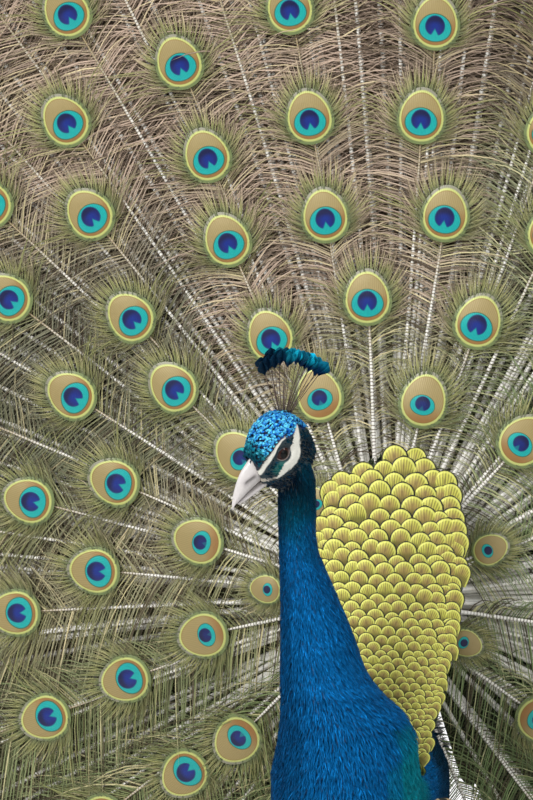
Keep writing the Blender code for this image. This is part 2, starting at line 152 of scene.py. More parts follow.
def makePiece(name, points, faces, finish, marks=None, bakeMap=None, replaced=()):
    mesh = bpy.data.meshes.new(name)
    points = np.asarray(points, np.float32).reshape(-1, 3)
    mesh.vertices.add(len(points))
    mesh.vertices.foreach_set("co", points.ravel())
    corners = np.concatenate([block.ravel() for block in faces]).astype(np.int32)
    sizes = np.concatenate([np.full(len(block), block.shape[1]) for block in faces])
    starts = np.concatenate([[0], np.cumsum(sizes)[:-1]]).astype(np.int32)
    mesh.loops.add(len(corners))
    mesh.loops.foreach_set("vertex_index", corners)
    mesh.polygons.add(len(sizes))
    mesh.polygons.foreach_set("loop_start", starts)
    mesh.polygons.foreach_set("use_smooth", np.ones(len(sizes), bool))
    mesh.update(calc_edges=True)
    return dress(mesh, name, finish, marks, bakeMap, replaced)


def dress(mesh, name, finish, marks=None, bakeMap=None, replaced=()):
    for key, values in (marks or {}).items():
        layer = mesh.attributes.new(key, "FLOAT_VECTOR", "POINT")
        layer.data.foreach_set("vector", np.asarray(values, np.float32).ravel())
    if bakeMap is not None:
        corners = np.empty(len(mesh.loops), np.int32)
        mesh.loops.foreach_get("vertex_index", corners)
        layer = mesh.uv_layers.new(name="OFBake")
        layer.data.foreach_set("uv", np.asarray(bakeMap, np.float32).reshape(-1, 2)[corners].ravel())
    piece = bpy.data.objects.new(name, mesh)
    bpy.context.scene.collection.objects.link(piece)
    mesh.materials.clear()
    mesh.materials.append(finish)
    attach(piece, "root")
    if replaced:
        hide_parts(*replaced)
    tally.append((name, sum(len(face.vertices) - 2 for face in mesh.polygons) if len(mesh.polygons) < 9000
                  else len(mesh.loops) - 2 * len(mesh.polygons)))
    return piece


tally = []


def repeated(pattern, count, size):
    return (pattern[None] + (np.arange(count) * size)[:, None, None]).reshape(-1, pattern.shape[1])


def spread(values, copies):
    return np.repeat(np.asarray(values), copies, axis=0)


def ribbons(lines, sides):
    # flat strips along lines, each ending in a point: lines are strips by steps, sides one step fewer
    count, steps = lines.shape[:2]
    pairs = np.stack([lines[:, :-1] - sides, lines[:, :-1] + sides], 2).reshape(count, -1, 3)
    points = np.concatenate([pairs, lines[:, -1:]], 1)
    size = 2 * steps - 1
    rungs = np.arange(steps - 2)[:, None] * 2
    quads = repeated(rungs + np.array((0, 1, 3, 2)), count, size)
    tips = repeated(np.array([[size - 3, size - 2, size - 1]]), count, size)
    return points.reshape(-1, 3), [quads, tips], size


def ribbonLie(count, steps, luck):
    # across the strip, along it, and a number of its own
    size = 2 * steps - 1
    across = np.append(np.tile([-1.0, 1.0], steps - 1), 0.0)
    along = np.append(np.repeat(np.linspace(0, 1, steps)[:-1], 2), 1.0)
    return np.stack([np.tile(across, count), np.tile(along, count), spread(luck, size)], -1)


def patches(places, size, across, along):
    # a bake patch for each piece: its place plus the point's own share of the patch
    own = np.stack([across, along - 0.5], -1) * size * np.array((0.5, 1.0))
    return spread(places, len(across) // len(places)) + own


def gridFaces(count, rows, columns):
    cell = np.arange(rows * columns).reshape(rows, columns)
    quads = np.stack([cell[:-1, :-1], cell[:-1, 1:], cell[1:, 1:], cell[1:, :-1]], -1).reshape(-1, 4)
    return [repeated(quads, count, rows * columns)]


def vanes(roots, along, normal, length, width, outline, columns, dome=0.1, lift=None):
    # rounded blades: outline is the half width at even steps along, as a share of the width
    count, rows = len(roots), len(outline)
    side = unit(np.cross(along, normal))
    reach = np.linspace(0, 1, rows)
    lift = np.zeros(rows) if lift is None else np.asarray(lift)
    across = np.linspace(-1, 1, columns)
    span = np.asarray(outline)[:, None] * across
    length, width = (np.broadcast_to(value, count)[:, None, None, None] for value in (length, width))
    hill = dome * np.asarray(outline)[:, None] * (1 - across ** 2)
    points = (roots[:, None, None]
              + along[:, None, None] * length * reach[None, :, None, None]
              + side[:, None, None] * width * 0.5 * span[None, :, :, None]
              + normal[:, None, None] * (width * hill[None, :, :, None] + length * lift[None, :, None, None]))
    own = np.stack([np.broadcast_to(across, (rows, columns)), np.broadcast_to(reach[:, None], (rows, columns))], -1)
    return points.reshape(-1, 3), gridFaces(count, rows, columns), np.tile(own.reshape(-1, 2), (count, 1))


def tubes(lines, radii, corners, hint=upright):
    # closed tubes along lines: lines are tubes by steps
    count, steps = lines.shape[:2]
    ahead = unit(np.gradient(lines, axis=1))
    side = unit(np.cross(ahead, np.asarray(hint)))
    over = np.cross(side, ahead)
    turn = np.arange(corners) * 2 * math.pi / corners
    ring = side[:, :, None] * np.cos(turn)[:, None] + over[:, :, None] * np.sin(turn)[:, None]
    points = lines[:, :, None] + ring * np.broadcast_to(radii, (count, steps))[:, :, None, None]
    cell = np.arange(steps * corners).reshape(steps, corners)
    nextCell = np.roll(cell, -1, axis=1)
    walls = np.stack([cell[:-1], nextCell[:-1], nextCell[1:], cell[1:]], -1).reshape(-1, 4)
    ends = np.stack([cell[0][::-1], cell[-1]])
    size = steps * corners
    return points.reshape(-1, 3), [repeated(walls, count, size), repeated(ends, count, size)], size


class Signal:
    # an output of a shader node: a sum or product of signals adds its Math nodes
    def __init__(self, finish, socket):
        self.finish = finish
        self.socket = socket

    def combine(self, operation, first, second):
        return self.finish.add("ShaderNodeMath", {"operation": operation}, {0: first, 1: second})

    def __add__(self, other):
        return self.combine("ADD", self, other)

    def __sub__(self, other):
        return self.combine("SUBTRACT", self, other)

    def __rsub__(self, other):
        return self.combine("SUBTRACT", other, self)

    def __mul__(self, other):
        return self.combine("MULTIPLY", self, other)

    def __truediv__(self, other):
        return self.combine("DIVIDE", self, other)

    def __pow__(self, other):
        return self.combine("POWER", self, other)

    __radd__ = __add__
    __rmul__ = __mul__

    def apply(self, operation, other=0.0):
        return self.combine(operation, self, other)


class Finish:
    def __init__(self, name, **values):
        self.material = bpy.data.materials.new(name)
        self.material.use_nodes = True
        self.tree = self.material.node_tree
        self.surface = self.tree.nodes["Principled BSDF"]
        self.feed(self.surface, {key.replace("_", " "): value for key, value in values.items()})

    def feed(self, node, sockets):
        for key, value in sockets.items():
            if isinstance(value, Signal):
                self.tree.links.new(value.socket, node.inputs[key])
            elif isinstance(value, np.ndarray):
                node.inputs[key].default_value = (*value, 1.0)
            else:
                node.inputs[key].default_value = value

    def add(self, kind, settings=None, sockets=None, output=0):
        node = self.tree.nodes.new(kind)
        for key, value in (settings or {}).items():
            setattr(node, key, value)
        self.feed(node, sockets or {})
        if output == "all":
            return [Signal(self, socket) for socket in node.outputs]
        return Signal(self, node.outputs[output])

    def mark(self, name):
        # the three numbers that a mesh carries under this name
        vector = self.add("ShaderNodeAttribute", {"attribute_name": name}, output="Vector")
        return self.add("ShaderNodeSeparateXYZ", sockets={0: vector}, output="all")

    def tint(self):
        return self.add("ShaderNodeAttribute", {"attribute_name": "tint"}, output="Color")

    def blend(self, factor, first, second, kind="MIX"):
        settings = {"data_type": "RGBA", "blend_type": kind, "clamp_factor": True}
        return self.add("ShaderNodeMix", settings, {0: factor, 6: first, 7: second}, 2)

    def rise(self, value, low, high):
        settings = {"interpolation_type": "SMOOTHSTEP"}
        return self.add("ShaderNodeMapRange", settings, {"Value": value, "From Min": low, "From Max": high})

    def noise(self, scale, detail=2.0, place=None):
        place = place or self.add("ShaderNodeTexCoord", output="Object")
        return self.add("ShaderNodeTexNoise", {}, {"Vector": place, "Scale": scale, "Detail": detail})

    def place(self, x, y, z=0.0):
        return self.add("ShaderNodeCombineXYZ", sockets={0: x, 1: y, 2: z})

    def finished(self, baseColour, roughness=None, bump=None, depth=0.0005, strength=0.6):
        self.feed(self.surface, {"Base Color": baseColour})
        if roughness is not None:
            self.feed(self.surface, {"Roughness": roughness})
        if bump is not None:
            sockets = {"Height": bump, "Distance": depth, "Strength": strength}
            self.feed(self.surface, {"Normal": self.add("ShaderNodeBump", sockets=sockets)})
        return self.material


def plumeFinish(name, stripes=5.0, contrast=0.35, sheen=0.25, roughness=0.5, metal=0.0, highlight=(255, 255, 255),
                gloss=0.35):
    # barbs seen as fine streaks that run out from a feather's middle to its edge
    finish = Finish(name, Metallic=metal, Sheen_Weight=sheen, Sheen_Roughness=0.4, Sheen_Tint=colour(*highlight),
                    Specular_IOR_Level=gloss, Specular_Tint=colour(*highlight))
    across, along, luck = finish.mark("lie")
    edge = across.apply("ABSOLUTE")
    streak = ((along * 2.2 - edge * 0.5 + luck * 3.0) * (stripes * 6.283)).apply("SINE") * 0.5 + 0.5
    grain = finish.noise(900.0)
    level = streak * 0.45 + grain * 0.9 + luck * 0.35
    shade = finish.rise(level, 0.25, 1.15) * contrast + (1.0 - contrast * 0.6)
    grey = finish.place(shade, shade, shade)
    base = finish.blend(1.0, finish.tint(), grey, "MULTIPLY")
    return finish.finished(base, (1.0 - streak) * 0.15 + roughness, streak + grain, 0.0003)


eyes = {
    "length": 0.0250,       # half the length and width of a full-grown eyespot, with its yellow ring
    "width": 0.0216,
    "firstRow": 0.110,
    "rows": 11,
    "rowGap": 0.092,
    "gapNear": 0.090,       # space between neighbours on a row, at the root and at the rim
    "gapFar": 0.165,
}


def feather(reach, angle):
    fade = train["swing"] * (1 - reach / train["reach"])
    return reach, math.radians(angle), fade


def featherTable():
    # every eyed feather: its reach, its angle, and where its line starts to the side
    rows = []
    chance = np.random.default_rng(5)
    for row in range(eyes["rows"]):
        reach = eyes["firstRow"] + eyes["rowGap"] * row
        share = reach / train["reach"]
        gap = eyes["gapNear"] + (eyes["gapFar"] - eyes["gapNear"]) * share
        step = math.degrees(gap / reach)
        count = int(2 * train["spread"] / step)
        for index in range(count):
            angle = -train["spread"] + step * (index + 0.5 + 0.5 * (row % 2)) + chance.normal() * step * 0.05
            own = reach + chance.normal() * 0.008
            if abs(angle) < 158 and own < fanReach(angle) - 0.055:
                rows.append(feather(own, angle))
    return np.array(rows)


def forkedTable():
    # rim feathers that end in a fork instead of an eyespot
    angles = np.linspace(-1, 1, 46) * (train["spread"] - 5)
    return np.array([feather(fanReach(angle) - 0.035, angle) for angle in angles])


def fanForward(reach):
    return train["layers"] * (1 - reach / train["reach"])


def fanPoints(feathers, distance, outward=0.0, forward=0.0):
    # feathers are rows of reach, angle and start; distance runs along each one's shaft
    reach, angle, start = (feathers[..., column] for column in range(3))
    x = start + np.sin(angle) * distance + np.cos(angle) * outward
    z = train["root"][2] + np.cos(angle) * distance - np.sin(angle) * outward
    y = dishDepth(x, z) - fanForward(reach) - forward
    return np.stack([x, y, z], -1)


def makeShafts(feathers, finish):
    steps = 15
    share = np.linspace(0, 1, steps)
    distance = 0.045 + (feathers[:, :1] - 0.045) * share
    lines = fanPoints(feathers[:, None], distance, 0.0, 0.001)
    size = 0.66 + 0.34 * feathers[:, :1] / train["reach"]
    radii = (0.0031 - 0.0024 * share ** 2.4) * size
    points, faces, size = tubes(lines, radii, 4, (0, 1, 0))
    chance = np.random.default_rng(8)
    lie = np.stack([np.repeat(distance.ravel(), 4), np.tile(np.repeat(share, 4), len(feathers)),
                    spread(chance.random(len(feathers)), size)], -1)
    corner = np.tile(np.linspace(-1, 1, 4), steps * len(feathers))
    middleOf = fanMap(lines[..., 0].ravel(), lines[..., 2].ravel())
    bakeMap = spread(middleOf, 4) + np.stack([corner * 0.001, corner * 0], -1)
    return makePiece("train_shafts", points, faces, finish, {"lie": lie}, bakeMap)


barbs = {
    "length": 0.088,
    "halfWidth": 0.00062,
    "closeGap": 0.0026,     # between barbs of one side, close under the eyespot
    "closePart": 0.11,
    "cover": 1.7,           # layers of barbs over the fan
    "startTurn": 64.0,      # degrees off the shaft, at the barb's root and at its tip
    "endTurn": 54.0,
    "droop": 0.032,         # how far a barb's tip hangs
    "first": 0.085,
}


def barbPlaces(feathers, chance):
    # where barbs leave each shaft: the feather, the distance along it and the side
    rows = []
    reaches = np.sort(feathers[:, 0])
    ground = barbs["length"] * barbs["halfWidth"] * 4 / (barbs["cover"] * 2 * math.radians(train["spread"]))
    for own in feathers:
        distance = barbs["first"]
        while distance < own[0] - 0.012:
            passing = len(reaches) - np.searchsorted(reaches, distance)
            wide = max(barbs["closeGap"], passing * ground / distance)
            loose = float(rise(own[0] - distance, barbs["closePart"], barbs["closePart"] * 2.2))
            distance += (barbs["closeGap"] + (wide - barbs["closeGap"]) * loose) * chance.uniform(0.6, 1.4)
            rows.append((*own, distance, 1.0))
            rows.append((*own, distance + 0.001, -1.0))
    return np.array(rows)


trainTints = {
    "mauve": colour(190, 166, 146),
    "olive": colour(146, 148, 108),
    "green": colour(110, 134, 78),
    "gold": colour(214, 198, 152),
    "halo": colour(140, 142, 84),
    "brown": colour(76, 60, 44),
}


def fanTint(points, luck):
    # mauve brown high up, olive beside the body, green low down, with a few gold barbs
    angle = np.degrees(np.abs(np.arctan2(points[:, 0], points[:, 2] - train["root"][2])))
    distance = np.hypot(points[:, 0], points[:, 2] - train["root"][2])
    wave = ripple(points, 0.16, 21) * 0.16
    base = mixed(trainTints["mauve"], trainTints["olive"], rise(angle + wave * 90, 45, 95))
    base = mixed(base, trainTints["olive"], rise(0.34 - distance + wave * 0.4, 0.0, 0.2))
    base = mixed(base, trainTints["green"], rise(angle + wave * 120, 95, 150) * 0.75)
    shaded = rise(points[:, 0], -0.02, 0.16)
    high = rise(points[:, 2], 1.0, 1.2)
    base = mixed(base, trainTints["olive"], shaded * rise(angle, 30, 70) * 0.6)
    base = base * (1 - (0.34 + 0.30 * high) * shaded)[:, None]
    base = mixed(base, trainTints["green"], shaded * (1 - high) * 0.60)
    flank = rise(points[:, 0], -0.16, -0.24) * rise(np.abs(points[:, 2] - 0.86), 0.20, 0.06)
    base = mixed(base, colour(112, 118, 92), flank * 0.8)
    base = mixed(base, trainTints["gold"], rise(luck, 0.76, 0.97) * 0.7)
    base = mixed(base, trainTints["brown"], rise(luck, 0.46, 0.12) * 0.9)
    base = base * (1 - np.outer(shaded * high, (0.30, 0.35, 0.38))) * (1 - 0.14 * flank)[:, None]
    return base * (1 + np.outer(shaded * (1 - high), (-0.07, 0.06, 0.03)))


def makeBarbs(feathers, finish):
    chance = np.random.default_rng(3)
    rows = barbPlaces(feathers, chance)
    count = len(rows)
    own, distance, side = rows[:, None, :3], rows[:, 3:4], rows[:, 4:5]
    steps = 5
    share = np.linspace(0, 1, steps)
    toEye = own[..., 0] - distance
    length = barbs["length"] * chance.uniform(0.75, 1.15, (count, 1)) * (0.55 + 0.45 * rise(distance, 0.05, 0.4))
    wave = 7 * np.sin(distance * 23 + own[..., 1] * 90)
    start = barbs["startTurn"] + wave + chance.normal(0, 2.5, (count, 1)) - 14 * rise(toEye, 0.07, 0.02)
    end = barbs["endTurn"] + wave + chance.normal(0, 4, (count, 1)) + 16 * rise(toEye, 0.09, 0.02)
    turn = np.radians(start + (end - start) * share)
    stepLength = length / (steps - 1)
    ahead = np.cumsum(np.cos(turn) * stepLength, 1) - np.cos(turn[:, :1]) * stepLength
    out = np.cumsum(np.sin(turn) * stepLength, 1) - np.sin(turn[:, :1]) * stepLength
    limit = fanReach(np.degrees(own[..., 1])) + 0.012 * chance.random((count, 1))
    along = np.minimum(distance + ahead, limit)
    lean = chance.normal(0, 0.0035, (count, 1))
    lines = fanPoints(own, along, side * out, lean * share + 0.002 * np.sin(share * 3.1))
    lines[..., 2] -= barbs["droop"] * share ** 2.2 * rise(toEye, 0.0, 0.06)
    heading = unit(np.gradient(lines, axis=1))
    roll = chance.normal(0, 0.45, (count, 1, 1))
    flat = unit(np.cross(heading, (0.0, 1.0, 0.0)))
    tilted = flat * np.cos(roll) + np.cross(heading, flat) * np.sin(roll)
    taper = np.array((1.0, 1.0, 0.85, 0.6))
    halfWidth = barbs["halfWidth"] * chance.uniform(0.7, 1.3, (count, 1))
    points, _, size = ribbons(lines, tilted[:, :-1] * (halfWidth * taper)[..., None])
    luck = chance.random(count)
    lie = ribbonLie(count, steps, luck)
    tint = fanTint(lines[:, 0], luck)
    halo = rise(toEye[:, 0], 0.060, 0.015) * 0.8
    tint = spread(mixed(tint, trainTints["halo"], halo), size)
    bakeMap = patches(fanMap(lines[:, 0, 0], lines[:, 0, 2]), 0.003, lie[:, 0], lie[:, 1])
    # shared out by angle, so that no piece is too heavy
    order = np.argsort(np.argsort(own[:, 0, 1]))
    shares = 6
    group = order * shares // count
    for index in range(shares):
        chosen = group == index
        point = np.repeat(chosen, size)
        number = int(chosen.sum())
        _, ownFaces, _ = ribbons(lines[chosen], tilted[chosen, :-1])
        makePiece("train_barbs_%d" % (index + 1), points[point], ownFaces, finish,
                  {"lie": lie[point], "tint": tint[point]}, bakeMap[point])
        print("barbs", index + 1, number)


def eyeOutline(turn, size):
    # an egg with its narrow end outward
    return size[..., 0] * np.sin(turn) * (1 - 0.13 * np.cos(turn)), size[..., 1] * np.cos(turn)


def eyeSize(feathers):
    # short feathers near the body carry smaller eyespots
    grown = 0.62 + 0.38 * rise(feathers[:, 0], 0.10, 0.20)
    return np.stack([eyes["width"] * grown, eyes["length"] * grown], -1)


def makeEyespots(feathers, finish):
    rows = 11
    grid = np.linspace(-1, 1, rows)
    across, along = np.meshgrid(grid, grid)
    x = across * np.sqrt(1 - along ** 2 / 2) * 1.13
    v = along * np.sqrt(1 - across ** 2 / 2) * 1.13
    size = eyeSize(feathers)
    outward = x * (1 - 0.13 * v) * size[:, 0, None, None]
    distance = feathers[:, 0, None, None] + v * size[:, 1, None, None]
    edge = np.hypot(x, v)
    forward = 0.0075 - 0.0022 * edge ** 2
    points = fanPoints(feathers[:, None, None], distance, outward, forward)
    chance = np.random.default_rng(12)
    luck = chance.random(len(feathers))
    count = len(feathers)
    spot = np.stack([np.tile(x.ravel(), count), np.tile(v.ravel(), count), spread(luck, rows * rows)], -1)
    young = spread(rise(feathers[:, 0], 0.27, 0.13), rows * rows)
    grown = np.stack([young, young, young], -1)
    places = fanMap(*fanPoints(feathers, feathers[:, 0])[:, ::2].T)
    own = spot[:, :2] * 0.0135
    bakeMap = spread(places, rows * rows) + own
    return makePiece("train_eyespots", points, gridFaces(count, rows, rows), finish, {"spot": spot, "grown": grown},
                     bakeMap)


def makeHalos(feathers, finish):
    # loose barbs that stand out round each eyespot
    chance = np.random.default_rng(14)
    each, steps = 176, 4
    count = len(feathers) * each
    own = spread(feathers, each)
    size = spread(eyeSize(feathers), each)
    turn = np.tile(np.linspace(-1, 1, each), len(feathers)) * math.radians(158) + chance.normal(0, 0.03, count)
    startOut, startUp = eyeOutline(turn, size * 1.01)
    heading = turn * 0.60 + chance.normal(0, 0.11, count)
    length = chance.uniform(0.022, 0.042, count) * size[:, 0] / eyes["width"]
    share = np.linspace(0, 1, steps)
    bend = heading[:, None] * (1 - 0.25 * share)
    out = startOut[:, None] + np.sin(bend) * length[:, None] * share
    up = startUp[:, None] + np.cos(bend) * length[:, None] * share
    forward = 0.0040 + chance.normal(0, 0.0012, (count, 1)) - 0.002 * share
    distance = np.minimum(own[:, :1] + up, fanReach(np.degrees(own[:, 1:2])) + 0.012)
    lines = fanPoints(own[:, None], distance, out, forward)
    luck = chance.random(count)
    widths = 0.00050 * np.array((1.0, 0.85, 0.55)) * chance.uniform(0.7, 1.2, (count, 1))
    flat = unit(np.cross(unit(np.gradient(lines, axis=1)), (0.0, 1.0, 0.0)))
    points, faces, stripSize = ribbons(lines, flat[:, :-1] * widths[..., None])
    lie = ribbonLie(count, steps, luck)
    tips = fanTint(lines[:, -1], luck)
    start = mixed(trainTints["halo"], trainTints["gold"], chance.random(count) * 0.35)
    start = mixed(start * 0.6, start, rise(np.abs(turn), 2.2, 1.2))
    start = start * (0.85 + 0.3 * chance.random(count))[:, None]
    foot = np.broadcast_to(colour(92, 104, 74), (len(points), 3))
    tint = mixed(foot, spread(start, stripSize), rise(lie[:, 1], 0.0, 0.2))
    tint = mixed(tint, spread(tips, stripSize), rise(lie[:, 1], 0.30, 0.8))
    bakeMap = patches(fanMap(lines[:, 0, 0], lines[:, 0, 2]), 0.003, lie[:, 0], lie[:, 1])
    return makePiece("train_halos", points, faces, finish, {"lie": lie, "tint": tint}, bakeMap)


def makeForks(forked, finish):
    # two lobes of close barbs at the tip of each rim feather, like a fish's tail
    chance = np.random.default_rng(15)
    each, steps = 84, 4
    count = len(forked) * each
    own = spread(forked, each)
    side = np.tile((1.0, -1.0), count // 2)[:, None]
    place = np.tile(np.repeat(np.linspace(0, 1, each // 2), 2), len(forked))[:, None]
    share = np.linspace(0, 1, steps)
    turn = np.radians(58 - 34 * place + chance.normal(0, 3, (count, 1))) - 0.35 * share
    length = (0.030 + 0.026 * np.sin(place * 2.6)) * chance.uniform(0.85, 1.1, (count, 1))
    distance = own[:, :1] - 0.060 + 0.058 * place + np.cos(turn) * length * share
    out = side * np.sin(turn) * length * share
    limit = fanReach(np.degrees(own[:, 1:2])) + 0.010
    lines = fanPoints(own[:, None], np.minimum(distance, limit), out, 0.002 + chance.normal(0, 0.001, (count, 1)))
    flat = unit(np.cross(unit(np.gradient(lines, axis=1)), (0.0, 1.0, 0.0)))
    widths = 0.0010 * np.array((1.0, 1.0, 0.7)) * chance.uniform(0.8, 1.2, (count, 1))
    points, faces, size = ribbons(lines, flat[:, :-1] * widths[..., None])
    luck = chance.random(count)
    lie = ribbonLie(count, steps, luck)
    tone = mixed(colour(52, 88, 58), colour(120, 112, 60), luck)
    tint = mixed(spread(tone, size), colour(40, 52, 44), rise(lie[:, 1], 0.3, 1.0))
    bakeMap = patches(fanMap(lines[:, 0, 0], lines[:, 0, 2]), 0.003, lie[:, 0], lie[:, 1])
    makePiece("train_forks", points, faces, finish, {"lie": lie, "tint": tint}, bakeMap)


def makeRearBarbs(forked, finish):
    # barbs seen from behind
    chance = np.random.default_rng(16)
    rows = []
    for own in forked:
        distance = 0.30
        while distance < own[0] - 0.03:
            distance += 0.0042 * chance.uniform(0.7, 1.3)
            rows += [(*own, distance, 1.0), (*own, distance + 0.001, -1.0)]
    rows = np.array(rows)
    count, steps = len(rows), 4
    own, distance, side = rows[:, None, :3], rows[:, 3:4], rows[:, 4:5]
    share = np.linspace(0, 1, steps)
    turn = np.radians(60 + chance.normal(0, 6, (count, 1)) - 34 * share)
    length = 0.080 * chance.uniform(0.8, 1.2, (count, 1))
    along = np.minimum(distance + np.cos(turn) * length * share, fanReach(np.degrees(own[..., 1])) + 0.008)
    lines = fanPoints(own, along, side * np.sin(turn) * length * share,
                      -0.0075 + chance.normal(0, 0.0012, (count, 1)) + 0.003 * share)
    flat = unit(np.cross(unit(np.gradient(lines, axis=1)), (0.0, 1.0, 0.0)))
    widths = 0.0010 * np.array((1.0, 1.0, 0.7)) * chance.uniform(0.8, 1.2, (count, 1))
    points, faces, size = ribbons(lines, flat[:, :-1] * widths[..., None])
    luck = chance.random(count)
    lie = ribbonLie(count, steps, luck)
    tone = mixed(colour(92, 84, 66), colour(140, 130, 104), luck)
    bakeMap = patches(fanMap(lines[:, 0, 0], lines[:, 0, 2]), 0.003, lie[:, 0], lie[:, 1])
    makePiece("train_rear_barbs", points, faces, finish, {"lie": lie, "tint": spread(tone, size)}, bakeMap)


def makeUnderVanes(finish):
    # the close vanes behind the loose barbs, which shut the fan
    count, rows, columns = 92, 24, 5
    chance = np.random.default_rng(17)
    angles = np.linspace(-1, 1, count) * (train["spread"] - 2)
    reach = fanReach(angles) - 0.035 - 0.03 * chance.random(count)
    feathers = np.stack([np.full(count, train["reach"]), np.radians(angles), np.zeros(count)], -1)
    share = np.linspace(0, 1, rows)
    across = np.linspace(-1, 1, columns)
    distance = 0.05 + (reach[:, None] - 0.05) * share
    halfWidth = distance * math.radians(train["spread"] / count * 1.55)
    tip = np.sqrt(np.clip((1 - share) / 0.06, 0, 1))
    outward = (halfWidth * tip)[:, :, None] * across
    layer = np.tile((0.0, 0.0018), count // 2)[:, None, None]
    forward = -0.004 + layer - 0.0015 * across ** 2
    points = fanPoints(feathers[:, None, None], distance[:, :, None], outward, forward)
    luck = chance.random(count)
    lie = np.stack(np.broadcast_arrays(outward, distance[:, :, None], luck[:, None, None]), -1)
    points = points.reshape(-1, 3)
    bakeMap = fanMap(points[:, 0], points[:, 2])
    return makePiece("train_undervanes", points, gridFaces(count, rows, columns), finish,
                     {"lie": lie.reshape(-1, 3), "tint": fanTint(points, np.full(len(points), 0.5))}, bakeMap,
                     ["train_%02d" % number for number in range(1, 11)])


def underVaneFinish():
    # barbs as slanted lines on both sides of the shaft: across and along are in metres
    finish = Finish("train_undervane", Roughness=0.75)
    across, along, luck = finish.mark("lie")
    edge = across.apply("ABSOLUTE")
    line = ((along - edge * 0.55) * 1900.0 + luck * 9.0).apply("SINE") * 0.5 + 0.5
    cross = ((along + edge * 0.8) * 1500.0 + luck * 5.0).apply("SINE") * 0.5 + 0.5
    grain = finish.noise(260.0, 3.0)
    level = finish.rise(line * 0.6 + cross * 0.25 + grain * 0.5, 0.35, 1.2)
    dark = finish.blend(1.0, finish.tint(), colour(70, 64, 52), "MULTIPLY")
    light = finish.blend(1.0, finish.tint(), colour(190, 182, 160), "MULTIPLY")
    return finish.finished(finish.blend(level, dark, light), None, level, 0.0008)


def eyespotFinish():
    # rings from the outside in, on an egg of radius 1
    finish = Finish("train_eyespot", Metallic=0.15)
    x, v, luck = finish.mark("spot")
    edge = (x * x + v * v).apply("SQRT")
    rays = ((x / (v + 2.6)).apply("ARCTANGENT") * 210.0).apply("SINE") * 0.5 + 0.5
    patch = finish.noise(3.0, 2.0, finish.place(x, v, luck * 20.0))
    outer = finish.blend(rays * 0.5 + patch * 0.5, colour(84, 98, 62), colour(124, 136, 80))
    lilac = finish.rise(v, 0.1, 0.7)
    shade = finish.blend(lilac * 0.8, outer, colour(138, 132, 118))
    young = finish.mark("grown")[0]
    ring = finish.blend(rays * 0.4, colour(188, 192, 112), colour(158, 166, 88))
    shade = finish.blend(finish.rise(edge, 1.04, 0.97), shade, ring)
    shade = finish.blend(finish.rise(edge, 0.935, 0.90), shade, colour(134, 104, 46))
    copper = finish.blend(patch, colour(150, 108, 56), colour(134, 94, 48))
    tan = finish.blend(rays * 0.5, colour(152, 135, 86), colour(136, 115, 74))
    disc = finish.blend(finish.rise(v + patch * 0.3 - x * 0.15 + young * 0.8, -0.35, 0.40), copper, tan)
    shade = finish.blend(finish.rise(edge, 0.92, 0.86), shade, disc)
    x = x * (young * 0.55 + 1.0)
    v = (v + 0.14) * (young * 0.75 + 1.0) - 0.14
    low = v + 0.225
    pool = ((x * x) * 2.05 + (low * low) * 3.50).apply("SQRT")
    shade = finish.blend(finish.rise(pool, 1.10, 1.02), shade, colour(44, 88, 62))
    water = finish.blend(rays * 0.5 + patch * 0.4, colour(4, 138, 148), colour(14, 176, 158))
    shade = finish.blend(finish.rise(pool, 1.03, 0.96), shade, water)
    inner = v + 0.145
    heart = ((x * x) * 5.7 + (inner * inner) * 7.0).apply("SQRT")
    notch = finish.rise((v + 0.27) * -0.62 - x.apply("ABSOLUTE"), -0.06, 0.05) * (1.0 - young)
    heartMask = finish.rise(heart, 1.03, 0.95) * (1.0 - notch)
    pupil = finish.blend(finish.rise(x.apply("ABSOLUTE"), 0.05, 0.42), colour(4, 36, 122), colour(14, 24, 92))
    pupil = finish.blend(finish.rise(inner + heart * 0.1, 0.02, 0.32) * (1.0 - young) + young, pupil, colour(4, 12, 62))
    shade = finish.blend(finish.rise(heart, 1.12, 1.04) * (1.0 - notch), shade, colour(8, 70, 110))
    shade = finish.blend(heartMask, shade, pupil)
    glossy = 0.42 - finish.rise(pool, 1.05, 0.95) * 0.1
    return finish.finished(shade, glossy, rays * 0.5 + patch, 0.0004, 0.35)


def shaftFinish():
    # white, with dark bands across it: the dark roots of the barbs and painted shadow of the barbs that cross it
    finish = Finish("train_shaft", Roughness=0.38)
    distance, along, luck = finish.mark("lie")
    fleck = finish.noise(120.0)
    pale = finish.blend(fleck, colour(250, 248, 242), colour(226, 220, 206))
    # dark bands along the shaft: barb roots and painted shadow of the crossing barbs
    rootAndShadowWave = (distance * 1950.0 + luck * 40.0 + finish.noise(60.0) * 9.0).apply("SINE")
    rootAndShadow = finish.rise(rootAndShadowWave, 0.25, 0.7) * finish.rise(along, 0.12, 0.45)
    pale = finish.blend(rootAndShadow * 0.8, pale, colour(92, 78, 56))
    return finish.finished(finish.blend(finish.rise(along, 0.72, 1.0), pale, colour(150, 128, 84)), None, fleck, 0.0003)


shield = {
    "low": 0.470,
    "high": 0.797,
    "smallScale": 0.0098,   # scale width at the foot of the shield, then at its top
    "largeScale": 0.0220,
}


def backWidth():
    # half width of the shield's solid at a height
    points = np.array([vertex.co for vertex in solids["back"].data.vertices])
    levels = np.linspace(shield["low"], shield["high"], 16)
    widths = [np.abs(points[np.abs(points[:, 2] - level) < 0.022][:, 0]).max(initial=0.01) for level in levels]
    return levels, np.array(widths)


def castTree(names):
    points, faces = [], []
    for name in names:
        mesh = solids[name].data
        base = len(points)
        points += [vertex.co.copy() for vertex in mesh.vertices]
        faces += [[base + corner for corner in face.vertices] for face in mesh.polygons]
    return BVHTree.FromPolygons(points, faces)


def cast(tree, starts, heading):
    # where rays first meet a piece: a mask, places and normals
    found, places, normals = [], [], []
    for start in starts:
        place, normal, _, _ = tree.ray_cast(Vector(start), Vector(heading))
        found.append(place is not None)
        places.append(place or Vector((0, 0, 0)))
        normals.append(normal or Vector((0, 0, 1)))
    return np.array(found), np.array(places), np.array(normals)


